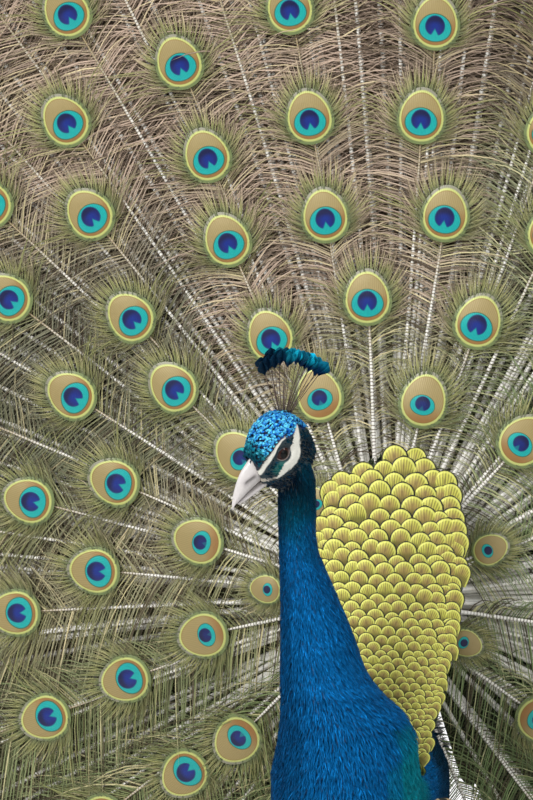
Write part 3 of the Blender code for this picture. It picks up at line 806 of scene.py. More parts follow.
def makeShield(finish):
    levels, widths = backWidth()
    tree = castTree(["back"])
    rows = []
    height = shield["low"]
    row = 0
    while height < shield["high"] - 0.006:
        share = (height - shield["low"]) / (shield["high"] - shield["low"])
        size = shield["smallScale"] + (shield["largeScale"] - shield["smallScale"]) * float(rise(share, 0.2, 0.95))
        half = float(np.interp(height, levels, widths)) - 0.002
        for index in range(-12, 13):
            share = (index + 0.5 * (row % 2)) * size * 0.78 / half
            if abs(share) < 1.04:
                rows.append((half * math.sin(share * 1.2) / math.sin(1.2), height, size, half))
        height += size * 0.50
        row += 1
    rows = np.array(rows)
    chance = np.random.default_rng(31)
    rows[:, 0] += chance.normal(0, 0.065, len(rows)) * rows[:, 2]
    rows[:, 1] += chance.normal(0, 0.060, len(rows)) * rows[:, 2]
    rows[:, 2] *= chance.uniform(0.90, 1.09, len(rows))
    inside = np.clip(rows[:, 0], -rows[:, 3] * 0.90, rows[:, 3] * 0.90)
    starts = np.stack([inside, np.full(len(rows), -0.6), rows[:, 1]], -1)
    found, places, normals = cast(tree, starts, (0, 1, 0))
    rows, places, normals = rows[found], places[found], unit(normals[found] + np.array((0, -0.8, 0)))
    places[:, 0] = rows[:, 0]
    outward = rows[:, 0] * 1.15 + chance.normal(0, 0.03, len(rows))
    heading = np.stack([outward, np.zeros(len(rows)), rows[:, 1] - 0.42], -1)
    heading = unit(heading - normals * np.sum(heading * normals, -1, keepdims=True))
    size = rows[:, 2]
    order = np.argsort(np.argsort(-rows[:, 1])) / len(rows)
    places = places + normals * (0.0016 + 0.0012 * order)[:, None] - heading * (size * 0.62)[:, None]
    bend = np.linspace(0, 1, 9)
    outline = np.where(bend < 0.5, 0.82 + 0.36 * bend, np.sqrt(np.clip(1 - ((bend - 0.5) / 0.5) ** 2, 0, 1)))
    outline[-1] = 0.10
    lift = 0.012 + 0.10 * bend ** 1.5 - 0.05 * bend ** 4
    points, faces, own = vanes(places, heading, normals, size * 1.22 * chance.uniform(0.95, 1.08, len(rows)),
                               size * 1.16, outline, 7, 0.10, lift)
    each = len(own) // len(rows)
    high = (own[:, 1] - 0.5) / 0.5
    wide = own[:, 0] * np.tile(np.repeat(outline, 7), len(rows))
    leaf = np.stack([wide, high, spread(chance.random(len(rows)), each)], -1)
    unwrapped = np.stack([0.5 + rows[:, 0] / 0.175, (rows[:, 1] - shield["low"]) / 0.36 + 0.02], -1)
    bakeMap = spread(unwrapped, each) + np.stack([wide * 0.028, high * 0.009], -1)
    makePiece("shield_scales", points, faces, finish, {"leaf": leaf}, bakeMap)


def scaleFinish():
    finish = Finish("shield_scale", Metallic=0.25)
    x, v, luck = finish.mark("leaf")
    low = v * finish.rise(v, -0.3, 0.2)
    edge = (x * x + low * low).apply("SQRT")
    rays = ((x / (v + 1.9)).apply("ARCTANGENT") * 72.0 + luck * 6.0).apply("SINE") * 0.5 + 0.5
    patch = finish.noise(2.5, 2.0, finish.place(x, v, luck * 30.0))
    gold = finish.blend(patch, colour(190, 184, 68), colour(206, 202, 90))
    shade = finish.blend(rays * 0.85, gold, colour(112, 116, 36))
    tan = finish.rise(edge, 0.85, 0.20) * finish.rise(luck + patch * 0.6, 0.15, 0.8)
    shade = finish.blend(tan * 0.85, shade, colour(146, 120, 66))
    shade = finish.blend(finish.rise(v, 0.15, -0.35) * 0.7, shade, colour(84, 80, 24))
    streak = finish.rise(x.apply("ABSOLUTE") + patch * 0.2, 0.26, 0.04) * finish.rise(v, -0.2, 0.1)
    streak = streak * finish.rise(v, 0.66, 0.25)
    shade = finish.blend(streak * 0.7, shade, colour(96, 74, 44))
    rim = finish.rise(edge, 0.68, 0.78) * finish.rise(edge, 0.90, 0.85)
    shade = finish.blend(rim * 0.8, shade, colour(206, 206, 100))
    shade = finish.blend(finish.rise(edge, 0.86, 0.92), shade, colour(20, 17, 3))
    return finish.finished(shade, 0.42 + (1.0 - rays) * 0.12, rays * 0.6 + patch * 0.4, 0.0004, 0.5)


flesh = ("head", "neck_upper", "neck_lower", "trunk", "back", "rump", "undertail",
         "thigh_left", "thigh_right", "wing_left", "wing_right")

# For each part: how deep the coat is, the length and half width of a tuft, all in millimetres,
# and the tufts on a square centimetre
coat = {
    "head": (1.3, 3.0, 0.45, 34),
    "neck_upper": (2.0, 8.0, 0.50, 44),
    "neck_lower": (2.6, 10.5, 0.60, 34),
    "trunk": (3.8, 16.0, 1.10, 13),
    "back": (3.0, 14.0, 1.60, 5),
    "rump": (4.0, 20.0, 1.60, 8),
    "undertail": (5.0, 30.0, 1.30, 11),
    "thigh_left": (4.0, 17.0, 1.20, 13),
    "thigh_right": (4.0, 17.0, 1.20, 13),
    "wing_left": (2.5, 14.0, 2.20, 3),
    "wing_right": (2.5, 14.0, 2.20, 3),
}

skin = {"voxel": 0.0022, "keep": 0.36, "smoothing": 7, "lid": 0.0009}

blues = {
    "royal": colour(12, 95, 154),
    "navy": colour(4, 38, 84),
    "teal": colour(6, 72, 92),
    "deepTeal": colour(4, 38, 46),
    "black": colour(6, 14, 18),
    "white": colour(240, 238, 226),
    "cheek": colour(8, 98, 92),
    "belly": colour(14, 34, 36),
    "bronze": colour(60, 84, 40),
    "down": colour(52, 46, 42),
    "buff": colour(176, 150, 112),
}

def eyeArc(radius, first, last, halfWidth):
    # part of a ring round the eye, in degrees from forward and over the top
    turns = np.radians(np.linspace(first, last, 6))
    return tuple((radius * math.cos(turn), radius * math.sin(turn), halfWidth) for turn in turns)


# White marks of the face: forward, up and half width, in millimetres from the eye
upperStripe = ((28, -8, 1.5), (20, -1, 1.8), (10, 5, 1.8), (3, 10, 1.0), (-4, 12.5, 0.5), (-9, 12.5, 0.4))
lowerStripe = ((-26, 13, 0.8), (-19, 6, 3.6)) + eyeArc(13.5, 185, 280, 4.6) + ((12, -18, 1.6), (15, -19, 0.5))


def strokeDistance(forward, up, stroke):
    # distance outside a stroke whose half width changes along it
    best = np.full(len(forward), 99.0)
    for (f0, u0, w0), (f1, u1, w1) in zip(stroke, stroke[1:]):
        run, climb = f1 - f0, u1 - u0
        share = np.clip(((forward - f0) * run + (up - u0) * climb) / (run * run + climb * climb), 0, 1)
        gap = np.hypot(forward - f0 - share * run, up - u0 - share * climb) - (w0 + (w1 - w0) * share)
        best = np.minimum(best, gap)
    return best


gape = ((30, -14, 2.5), (22, -16, 1.2), (14, -18, 0.4))


def whiteMask(place, soft=0.7):
    forward, up, left = place.T
    gap = np.minimum(strokeDistance(forward, up, upperStripe), strokeDistance(forward, up, lowerStripe))
    return rise(gap, soft, -soft * 0.4) * (np.abs(left) > 5.0)


def crownMask(place):
    forward, up, left = place.T
    line = np.interp(forward, (-34, -26, -12, -5, 4, 12, 20, 26), (2, 11, 10, 13.5, 12.5, 8, 2.5, -2))
    return rise(up - line, -1.2, 1.2) * (np.abs(left) < 21)


def plumage(points, region):
    # the bird's colours by place: region is the part that each point lies on
    place = headPlace(points)
    forward, up, left = place.T
    wave = ripple(points, 0.05, 2)
    height = points[:, 2]
    neck = mixed(blues["teal"], blues["royal"], rise(height + wave * 0.02, 0.79, 0.715))
    neck = mixed(neck, blues["deepTeal"], rise(height + wave * 0.008, 0.765, 0.80) * 0.8)
    neck = mixed(neck, blues["black"], rise(up, -52, -30) * rise(forward + left * 0.2, -12, 4))
    depth = points[:, 1]
    body = mixed(neck, blues["belly"], rise(depth + wave * 0.02 - (height - 0.46) * 0.5, -0.06, 0.03))
    face = mixed(blues["deepTeal"], blues["black"], rise(np.hypot(forward + 20, up + 9), 14, 7) * 0.8)
    face = mixed(face, blues["cheek"], rise(np.hypot(forward - 8, (up + 11) * 1.2), 10, 5))
    face = mixed(face, blues["black"], rise(strokeDistance(forward, up - 3.5, upperStripe) + 1.0, 2.6, 0.6))
    face = mixed(face, blues["black"], rise(up, -18, -25) * 0.8)
    face = mixed(face, colour(2, 34, 92), crownMask(place))
    ahead = rise(forward + np.abs(left) * 0.5, 16, 26) * crownMask(place)
    face = mixed(face, blues["black"], ahead * 0.9)
    face = mixed(face, blues["white"], whiteMask(place))
    face = mixed(face, colour(186, 178, 164), rise(strokeDistance(forward, up, gape), 0.5, -0.3) * (np.abs(left) > 3))
    tones = {"head": face, "back": np.broadcast_to(blues["bronze"], points.shape),
             "rump": np.broadcast_to(blues["bronze"] * 0.7, points.shape),
             "undertail": np.broadcast_to(blues["down"], points.shape)}
    buff = np.broadcast_to(blues["buff"], points.shape)
    dark = mixed(buff, blues["down"], rise(height, 0.34, 0.42) * 0.6)
    result = body.copy()
    for number, name in enumerate(flesh):
        own = region == number
        if name in tones:
            result[own] = tones[name][own]
        elif "thigh" in name:
            result[own] = dark[own]
        elif "wing" in name:
            result[own] = buff[own] * 0.7
    return result


def ellipsoid(centre, axes, radii, rings, sides):
    # points and faces, with the first axis through the poles
    polar = np.linspace(0.0001, math.pi - 0.0001, rings)
    turn = np.arange(sides) * 2 * math.pi / sides
    own = np.stack(np.broadcast_arrays(np.cos(polar)[:, None], np.sin(polar)[:, None] * np.cos(turn),
                                       np.sin(polar)[:, None] * np.sin(turn)), -1)
    points = centre + (own * np.asarray(radii)) @ np.asarray(axes)
    cell = np.arange(rings * sides).reshape(rings, sides)
    after = np.roll(cell, -1, axis=1)
    quads = np.stack([cell[:-1], after[:-1], after[1:], cell[1:]], -1).reshape(-1, 4)
    return points.reshape(-1, 3), quads, own.reshape(-1, 3)


def meshNumbers(mesh):
    points = np.empty(len(mesh.vertices) * 3, np.float32)
    mesh.vertices.foreach_get("co", points)
    normals = np.empty(len(mesh.vertices) * 3, np.float32)
    mesh.vertex_normals.foreach_get("vector", normals)
    return points.reshape(-1, 3).astype(float), normals.reshape(-1, 3).astype(float)


def rawMesh(name, points, faces):
    mesh = bpy.data.meshes.new(name)
    mesh.from_pydata(points.tolist(), [], faces)
    mesh.update()
    return mesh


def changed(mesh, *modifiers):
    # a mesh after a row of modifiers, each a type with its settings
    piece = bpy.data.objects.new("working", mesh)
    bpy.context.scene.collection.objects.link(piece)
    for kind, settings in modifiers:
        modifier = piece.modifiers.new(kind, kind)
        for key, value in settings.items():
            setattr(modifier, key, value)
    graph = bpy.context.evaluated_depsgraph_get()
    result = bpy.data.meshes.new_from_object(piece.evaluated_get(graph))
    bpy.data.objects.remove(piece)
    return result


def fleshMesh(names):
    # flesh solids, a little swollen so that they run into one, with the eyes and the bill's root filled in
    points, faces = [], []
    total = 0
    extra = []
    if "head" in names:
        extra = [ellipsoid(middle("eye_" + side), headFrame[[2, 0, 1]], [eyeRadius] * 3, 17, 28)[:2]
                 for side in ("left", "right")]
        extra.append(ellipsoid(onHead((17, -10, 0)), headFrame, (0.010, 0.011, 0.0055), 15, 20)[:2])
    for name in names:
        own, normals = meshNumbers(solids[name].data)
        extra.append((own + normals * 0.0005, [list(face.vertices) for face in solids[name].data.polygons]))
    for own, ownFaces in extra:
        points.append(own)
        faces += [[total + int(corner) for corner in face] for face in ownFaces]
        total += len(own)
    return rawMesh("flesh", np.concatenate(points), faces)


def refine(mesh, centre, radius, cuts):
    build = bmesh.new()
    build.from_mesh(mesh)
    middleOf = Vector(centre)
    edges = [edge for edge in build.edges
             if (edge.verts[0].co - middleOf).length < radius and (edge.verts[1].co - middleOf).length < radius]
    bmesh.ops.subdivide_edges(build, edges=edges, cuts=cuts, use_grid_fill=True)
    bmesh.ops.triangulate(build, faces=[face for face in build.faces if len(face.verts) > 3])
    build.to_mesh(mesh)
    build.free()


def shapeLids(points):
    # lids close round each eyeball: inside the opening the skin dives behind it
    rim = np.zeros(len(points))
    for side in (1.0, -1.0):
        centre = onHead((0, 0, 0)) + headLeft * eyeOut * side
        own = (points - centre) @ headFrame.T
        distance = np.linalg.norm(own, axis=1)
        outward = own[:, 2] * side
        near = (distance < 0.019) & (outward > 0.0038)
        along, up = own[:, 0] + 0.0007, own[:, 1]
        corner = 1 - 0.25 * rise(np.abs(along), 0.004, 0.0085)
        off = np.hypot(along / 0.0085, up / (0.0055 * corner)) - 1
        lid = eyeRadius + skin["lid"] * (1 - 0.5 * rise(off, 0.06, 0.30))
        fold = -0.0004 * np.exp(-((off - 0.34) / 0.09) ** 2)
        held = rise(off, 0.75, 0.14) * rise(distance, 0.0170, 0.0120)
        target = distance + (lid + fold - distance) * held
        target = np.where(off < 0, eyeRadius * 0.84, np.where(off < 0.06, lid, target))
        scale = np.where(near, target / np.maximum(distance, 1e-6), 1.0)
        points = centre + (points - centre) * scale[:, None]
        rim = np.maximum(rim, near * rise(off, 0.20, 0.13))
    return points, rim


def makeSkin(finish):
    # the back is closed on its own, so that the crease beside it stays sharp
    forms = []
    for names in ([name for name in flesh if name != "back"], ["back"]):
        form = changed(fleshMesh(names), ("REMESH", {"mode": "VOXEL", "voxel_size": skin["voxel"]}),
                       ("SMOOTH", {"factor": 0.5, "iterations": skin["smoothing"]}),
                       ("DECIMATE", {"ratio": skin["keep"]}))
        forms.append((meshNumbers(form)[0], [list(face.vertices) for face in form.polygons]))
    start = len(forms[0][0])
    rough = rawMesh("skin", np.concatenate([forms[0][0], forms[1][0]]),
                    forms[0][1] + [[start + corner for corner in face] for face in forms[1][1]])
    refine(rough, headAt, 0.046, 2)
    for side in (1, -1):
        refine(rough, onHead((0, 0, side * 17)), 0.016, 1)
    points, normals = meshNumbers(rough)
    corners, owner, total = [], [], 0
    allPoints = []
    for number, name in enumerate(flesh):
        mesh = solids[name].data
        allPoints += [vertex.co.copy() for vertex in mesh.vertices]
        corners += [[total + corner for corner in face.vertices] for face in mesh.polygons]
        owner += [number] * len(mesh.polygons)
        total += len(mesh.vertices)
    tree = BVHTree.FromPolygons(allPoints, corners)
    region = np.array([owner[tree.find_nearest(Vector(point))[2]] for point in points])
    depths = np.array([coat[name][0] for name in flesh])[region] / 1000.0
    for side in ("left", "right"):
        gap = np.linalg.norm(points - middle("eye_" + side), axis=1)
        depths = depths * rise(gap, 0.010, 0.020)
    points, rim = shapeLids(points - normals * depths[:, None])
    rough.vertices.foreach_set("co", points.astype(np.float32).ravel())
    rough.update()
    rough.polygons.foreach_set("use_smooth", np.ones(len(rough.polygons), bool))
    points, normals = meshNumbers(rough)
    tint = plumage(points, region)
    lower = rise(headPlace(points)[:, 1], 0.5, -2.5)
    tint = mixed(tint, mixed(np.broadcast_to(colour(34, 34, 38), tint.shape), colour(150, 136, 130), lower), rim)
    bakeMap = bodyMap(points, region)
    piece = dress(rough, "bird_skin", finish, {"tint": tint}, bakeMap, flesh)
    triangles = np.array([list(face.vertices)[:3] for face in rough.polygons])
    return {"points": points, "normals": normals, "region": region, "triangles": triangles, "piece": piece}


def bodyMap(points, region):
    # the body unrolled: each part has its own column, round it across and along it upward
    number = region.astype(float)
    centre = np.zeros((len(flesh), 3))
    for index, name in enumerate(flesh):
        centre[index] = middle(name)
    own = points - centre[region]
    tall = np.isin(region, [0, 1, 2, 4, 7, 8])
    long = np.where(tall, own[:, 2], own[:, 1])
    turn = np.where(tall, np.arctan2(own[:, 0], -own[:, 1]), np.arctan2(own[:, 0], own[:, 2]))
    column = 0.98 / len(flesh)
    return np.stack([0.01 + column * (number + 0.5 + 0.44 * turn / math.pi), 0.5 + long / 0.62], -1)


def skinFinish():
    finish = Finish("bird_skin", Roughness=0.55)
    grain = finish.noise(1400.0, 3.0)
    pits = finish.add("ShaderNodeTexVoronoi", {}, {"Vector": finish.add("ShaderNodeTexCoord", output="Object"),
                                                 "Scale": 900.0})
    shade = finish.blend(grain * 0.4, finish.tint(), colour(10, 22, 34))
    return finish.finished(shade, grain * 0.3 + 0.4, pits + grain, 0.0003, 0.5)


spine = np.array([(-0.060, -0.195, 0.830), (-0.055, -0.170, 0.735), (-0.045, -0.165, 0.695),
                  (-0.030, -0.160, 0.615), (-0.010, -0.160, 0.570), (-0.015, -0.145, 0.520),
                  (-0.015, -0.100, 0.480), (-0.010, -0.040, 0.460), (-0.005, 0.020, 0.460), (0.0, 0.120, 0.490)])


def spineHeading(points):
    heading = unit(np.gradient(spine, axis=0))
    gaps = np.linalg.norm(points[:, None] - spine[None], axis=2)
    weight = np.exp(-(gaps / 0.045) ** 2) + 1e-9
    return unit((weight[:, :, None] * heading[None]).sum(1))


def lieOf(points, region):
    # which way the feathers point on each part
    heading = spineHeading(points)
    place = headPlace(points)
    down = (0.3 + 0.65 * rise(-place[:, 0], 8, 30))[:, None]
    ways = {"head": -headForward * (1 - down) - headUp * down}
    fixed = {"back": (0, 0.1, 1), "rump": (0, 0.3, 1), "undertail": (0, 0.85, -0.5), "thigh_left": (0, 0.15, -1),
             "thigh_right": (0, 0.15, -1), "wing_left": (0.05, 0.9, -0.42), "wing_right": (-0.05, 0.9, -0.42)}
    for number, name in enumerate(flesh):
        own = region == number
        if name in ways:
            heading[own] = ways[name][own]
        elif name in fixed:
            heading[own] = fixed[name]
    return heading


def tuftRoots(body, chance):
    # even spread of roots over the skin, as many on a square centimetre as the coat says
    corners = body["triangles"]
    region = body["region"][corners[:, 0]]
    a, b, c = (body["points"][corners[:, index]] for index in range(3))
    area = 0.5 * np.linalg.norm(np.cross(b - a, c - a), axis=1)
    centre = (a + b + c) / 3
    rate = np.array([coat[name][3] for name in flesh], float)[region] * 1e4
    breast = (region == flesh.index("trunk")) * rise(centre[:, 1], -0.05, -0.11)
    rate = rate * (1 + 0.9 * breast)
    total = np.cumsum(area * rate)
    marks = np.arange(0.5, total[-1], 1.0)
    marks = marks + chance.uniform(-0.45, 0.45, int(total[-1] - 0.5) + 1)[:len(marks)]
    chosen = np.searchsorted(total, np.clip(marks, 0, total[-1] - 1e-6))
    first, second = np.sqrt(chance.random(len(chosen))), chance.random(len(chosen))
    weights = np.stack([1 - first, first * (1 - second), first * second], -1)
    corner = corners[chosen]
    roots = (body["points"][corner] * weights[..., None]).sum(1)
    normals = unit((body["normals"][corner] * weights[..., None]).sum(1))
    return roots, normals, region[chosen], breast[chosen]


def makeCoat(body, finishes):
    chance = np.random.default_rng(41)
    roots, normals, region, breast = tuftRoots(body, chance)
    place = headPlace(roots)
    face = region == 0
    nearEye = np.minimum(*(np.linalg.norm(roots - middle("eye_" + side), axis=1) for side in ("left", "right")))
    bare = face & ((nearEye < 0.0126) | (place[:, 0] > 24) | (crownMask(place) > 0.4))
    shieldTree = castTree(["back"])
    toShield = np.array([shieldTree.find_nearest(Vector(root))[3] for root in roots])
    ahead = roots[:, 2] > shield["low"] + 0.01
    onBack = region == flesh.index("back")
    covered = (onBack & (normals[:, 1] < -0.1)) | (~onBack & ahead & (toShield < 0.007) & (roots[:, 1] < 0.04))
    kept = ~(bare | covered | (face & (whiteMask(place, 1.0) > 0.25)))
    nearShield = rise(toShield, 0.006, 0.022)[kept]
    nearShield[onBack[kept]] = 1.0
    roots, normals, region, breast = (values[kept] for values in (roots, normals, region, breast))
    table = np.array([coat[name][:3] for name in flesh])[region] / 1000.0
    depth, length, halfWidth = table.T
    length = length * (1 - 0.30 * breast) * chance.uniform(0.7, 1.25, len(roots)) * (0.4 + 0.6 * nearShield)
    depth = depth * (0.5 + 0.5 * nearShield)
    halfWidth = halfWidth * (1 - 0.40 * breast) * chance.uniform(0.7, 1.2, len(roots))
    place = headPlace(roots)
    nearWhite = rise(np.minimum(strokeDistance(place[:, 0], place[:, 1], upperStripe),
                                strokeDistance(place[:, 0], place[:, 1], lowerStripe)), 0.5, 4.0)
    length = length * np.where(region == 0, 0.45 + 0.55 * nearWhite, 1.0)
    heading = lieOf(roots, region) + chance.normal(0, 1, roots.shape) * np.where(region <= 3, 0.09, 0.16)[:, None]
    heading = unit(heading - normals * np.sum(heading * normals, -1, keepdims=True))
    side = np.cross(heading, normals)
    steps = 5
    share = np.linspace(0, 1, steps)
    height = -0.0004 + depth[:, None] * (1.15 * np.sin(share * 1.9) - 0.12 * share)
    sway = chance.normal(0, 0.10, (len(roots), 1)) * share ** 2
    lines = (roots[:, None] + heading[:, None] * (length[:, None] * share)[..., None]
             + normals[:, None] * height[..., None] + side[:, None] * (sway * length[:, None])[..., None])
    roll = chance.normal(0, 0.22, (len(roots), 1))
    flat = side * np.cos(roll) + normals * np.sin(roll)
    taper = np.array((0.7, 1.0, 0.95, 0.6))
    sides = flat[:, None] * (halfWidth[:, None] * taper)[..., None]
    tone = plumage(roots, region)
    tone = tone * (0.64 + 0.72 * chance.random(len(roots)))[:, None]
    shoulder = (region == flesh.index("trunk")) * rise(normals[:, 0], 0.80, 0.98) * rise(roots[:, 2], 0.61, 0.56)
    shoulder = shoulder * rise(roots[:, 2], 0.47, 0.50) * rise(roots[:, 1], -0.04, -0.08)
    flank = (region > 0) & (region <= 3)
    # painted shade: neck and trunk tufts are darkened where they face -x, and a little where they face +x
    sideShade = rise(-normals[:, 0] - normals[:, 1] * 0.1, 0.32, 0.88) * 0.80 + rise(normals[:, 0], 0.80, 1.0) * 0.20
    tone = mixed(tone, tone * 0.28, sideShade * flank)
    tone = mixed(tone, colour(14, 134, 140), shoulder * 0.85)
    glint = rise(chance.random(len(roots)), 0.75, 1.0) * (region <= 3)
    tone = mixed(tone, tone * 1.6 + np.array((0.0, 0.02, 0.05)), glint)
    groups = {"coat_head": ("head",), "coat_neck": ("neck_upper", "neck_lower"), "coat_trunk": ("trunk",),
              "coat_rear": ("back", "rump", "undertail"),
              "coat_legs": ("thigh_left", "thigh_right", "wing_left", "wing_right")}
    for name, names in groups.items():
        chosen = np.isin(region, [flesh.index(part) for part in names])
        points, faces, size = ribbons(lines[chosen], sides[chosen])
        number = int(chosen.sum())
        lie = ribbonLie(number, steps, chance.random(number))
        bakeMap = patches(bodyMap(roots[chosen], region[chosen]), 0.003, lie[:, 0], lie[:, 1])
        own = finishes["down"] if name in ("coat_rear", "coat_legs") else finishes["blue"]
        makePiece(name, points, faces, own, {"lie": lie, "tint": spread(tone[chosen], size)}, bakeMap)
        print(name, number)


def makeCrown(body, finish):
    # tiny curled feathers, bright at the tip, dark in the gaps
    chance = np.random.default_rng(51)
    corners = body["triangles"][body["region"][body["triangles"][:, 0]] == 0]
    a, b, c = (body["points"][corners[:, index]] for index in range(3))
    area = 0.5 * np.linalg.norm(np.cross(b - a, c - a), axis=1)
    centre = (a + b + c) / 3
    mask = crownMask(headPlace(centre)) > 0.5
    total = np.cumsum(area * mask)
    count = 1250
    chosen = np.searchsorted(total, (np.arange(count) + chance.random(count)) / count * total[-1] * 0.9999)
    weights = chance.dirichlet((1, 1, 1), count)
    corner = corners[chosen]
    roots = (body["points"][corner] * weights[..., None]).sum(1)
    normals = unit((body["normals"][corner] * weights[..., None]).sum(1))
    place = headPlace(roots)
    clear = np.minimum(strokeDistance(place[:, 0], place[:, 1], upperStripe),
                       strokeDistance(place[:, 0], place[:, 1], lowerStripe))
    kept = (place[:, 0] < 25) & (clear > 1.3)
    roots, normals, place, clear = roots[kept], normals[kept], place[kept], clear[kept]
    number = len(roots)
    heading = -headForward + chance.normal(0, 0.75, roots.shape) + headUp * (2.2 * rise(clear, 5.0, 1.3))[:, None]
    heading = unit(heading - normals * np.sum(heading * normals, -1, keepdims=True))
    outline = np.array((0.35, 0.8, 1.0, 0.9, 0.25))
    lift = np.array((0.0, 0.28, 0.46, 0.50, 0.40))
    length = chance.uniform(0.0034, 0.0050, number) * (0.6 + 0.4 * rise(clear, 1.3, 5.0))
    points, faces, own = vanes(roots, heading, normals, length, length * 0.46, outline, 3, 0.22, lift)
    tone = mixed(colour(10, 96, 196), colour(110, 226, 255), chance.random(number) ** 1.2)
    tone = mixed(tone, colour(8, 120, 110), rise(place[:, 0], 12, 20) * 0.75)
    tone = mixed(tone, blues["deepTeal"], rise(place[:, 0] + np.abs(place[:, 2]) * 0.3, 19, 26) * 0.85)
    each = len(own) // number
    lie = np.concatenate([own, spread(chance.random(number), each)[:, None]], 1)
    fade = rise(own[:, 1], 0.1, 0.7)
    tint = mixed(np.broadcast_to(colour(2, 22, 74), (len(points), 3)), spread(tone, each), fade)
    bakeMap = patches(bodyMap(roots, np.zeros(number, int)), 0.003, own[:, 0], own[:, 1])
    makePiece("crown_feathers", points, faces, finish, {"lie": lie, "tint": tint}, bakeMap)


def makeEyes(finish):
    for side, sign in (("left", 1.0), ("right", -1.0)):
        axes = np.array((headLeft * sign, headForward, headUp))
        points, quads, own = ellipsoid(middle("eye_" + side), axes, [eyeRadius * 0.995] * 3, 41, 48)
        polar = np.degrees(np.arccos(np.clip(own[:, 0], -1, 1)))
        bulge = 0.0007 * rise(polar, 52, 0)
        points = points + (axes[0] * bulge[:, None])
        gaze = np.stack([polar / 90.0, own[:, 1], own[:, 2]], -1)
        makePiece("eyeball_" + side, points, [quads], finish, {"gaze": gaze}, None, ["eye_" + side])


def eyeFinish():
    finish = Finish("eye", Roughness=0.3, Specular_IOR_Level=0.05, Coat_Weight=0.3, Coat_Roughness=0.02)
    polar, x, y = finish.mark("gaze")
    turn = x.apply("ARCTAN2", y)
    rays = finish.noise(9.0, 3.0, finish.place(x * 3.0, y * 3.0, turn * 0.6))
    iris = finish.blend(rays, colour(28, 13, 10), colour(58, 26, 18))
    iris = finish.blend(finish.rise(polar, 0.46, 0.60), iris, colour(16, 8, 8))
    shade = finish.blend(finish.rise(polar, 0.30, 0.27), iris, colour(2, 2, 3))
    shade = finish.blend(finish.rise(polar, 0.66, 0.70), shade, colour(40, 36, 38))
    return finish.finished(shade)


billUpper = ((17, 5.5, 4, -15), (22, 7, 6.6, -18.4), (30, 7.3, 3.6, -19.2), (38, 6, 0, -20.4), (45, 5, -5.2, -21.6),
             (51, 4, -11, -22.8), (56, 2.9, -17, -23.8), (59.5, 1.7, -22, -25.2), (61.5, 0.6, -26.2, -27.6))
billLower = ((12, 6.2, -21, -24.4), (20, 7, -19.2, -25.4), (30, 6.6, -19.9, -26), (40, 5, -21.3, -26.4),
             (48, 3.7, -22.8, -26.6), (54.5, 1.8, -24.1, -26))


def makeBill(name, stations, finish):
    rows = smoothRows(stations, 104)
    corners = 64
    turn = (np.arange(corners) + 0.5) * 2 * math.pi / corners
    across, over = np.cos(turn), np.sin(turn)
    forward, half, top, low = rows.T
    wide = half[:, None] * across
    tall = (top + low)[:, None] / 2 + (top - low)[:, None] / 2 * over
    wide = wide * np.where(over > 0, 1 - 0.16 * over ** 2, 1.0)
    place = np.stack([np.broadcast_to(forward[:, None], wide.shape), tall, wide], -1).reshape(-1, 3)
    along, up, left = place.T
    slant = (up + 8.9) + 0.12 * (along - 35.5)      # nostril: a long slit along the bill
    slit = np.exp(-((along - 35.5) / 5.6) ** 4 - (slant / 1.3) ** 2) * (np.abs(left) > 2.2)
    rim = np.exp(-((along - 35.5) / 8.0) ** 4 - (slant / 3.2) ** 2) * (np.abs(left) > 2.2)
    if name == "bill_upper":
        place[:, 2] -= np.sign(left) * (1.7 * slit - 0.30 * rim)
    points = onHead(place)
    cell = np.arange(len(rows) * corners).reshape(len(rows), corners)
    after = np.roll(cell, -1, axis=1)
    walls = np.stack([cell[:-1], after[:-1], after[1:], cell[1:]], -1).reshape(-1, 4)
    ends = np.stack([cell[0][::-1], cell[-1]])
    pale, grey = colour(206, 200, 198), colour(120, 116, 118)
    ridge = np.interp(along, (17, 40, 61), (-6, -16, -26))
    tint = mixed(np.broadcast_to(pale, points.shape), grey, rise(up - ridge, 3, -4) * 0.45)
    if name == "bill_upper":
        tint = mixed(tint, colour(96, 84, 94), rim * 0.75)
        # painted shade: the nostril slit is coloured near black for the shade inside it
        tint = mixed(tint, colour(16, 13, 15), np.minimum(1, slit * 1.6))
    makePiece("horn_" + name, points, [walls, ends], finish, {"tint": tint}, None, [name])


def hornFinish(name, roughness=0.36):
    finish = Finish(name, Roughness=roughness, Coat_Weight=0.15)
    grain = finish.noise(420.0, 4.0)
    cloud = finish.noise(90.0, 2.0)
    shade = finish.blend(grain * 0.35, finish.tint(), colour(150, 140, 132))
    shade = finish.blend(cloud * 0.3, shade, colour(232, 226, 222))
    return finish.finished(shade, grain * 0.25 + roughness - 0.1, grain, 0.0002, 0.4)


crest = {"shafts": 24, "length": 0.055, "fan": 0.0150, "fanWidth": 0.0135}


def quillFinish():
    finish = Finish("crest_quill", Roughness=0.45)
    fleck = finish.noise(500.0)
    return finish.finished(finish.blend(fleck, colour(96, 76, 68), colour(62, 48, 42)), None, fleck, 0.0002)


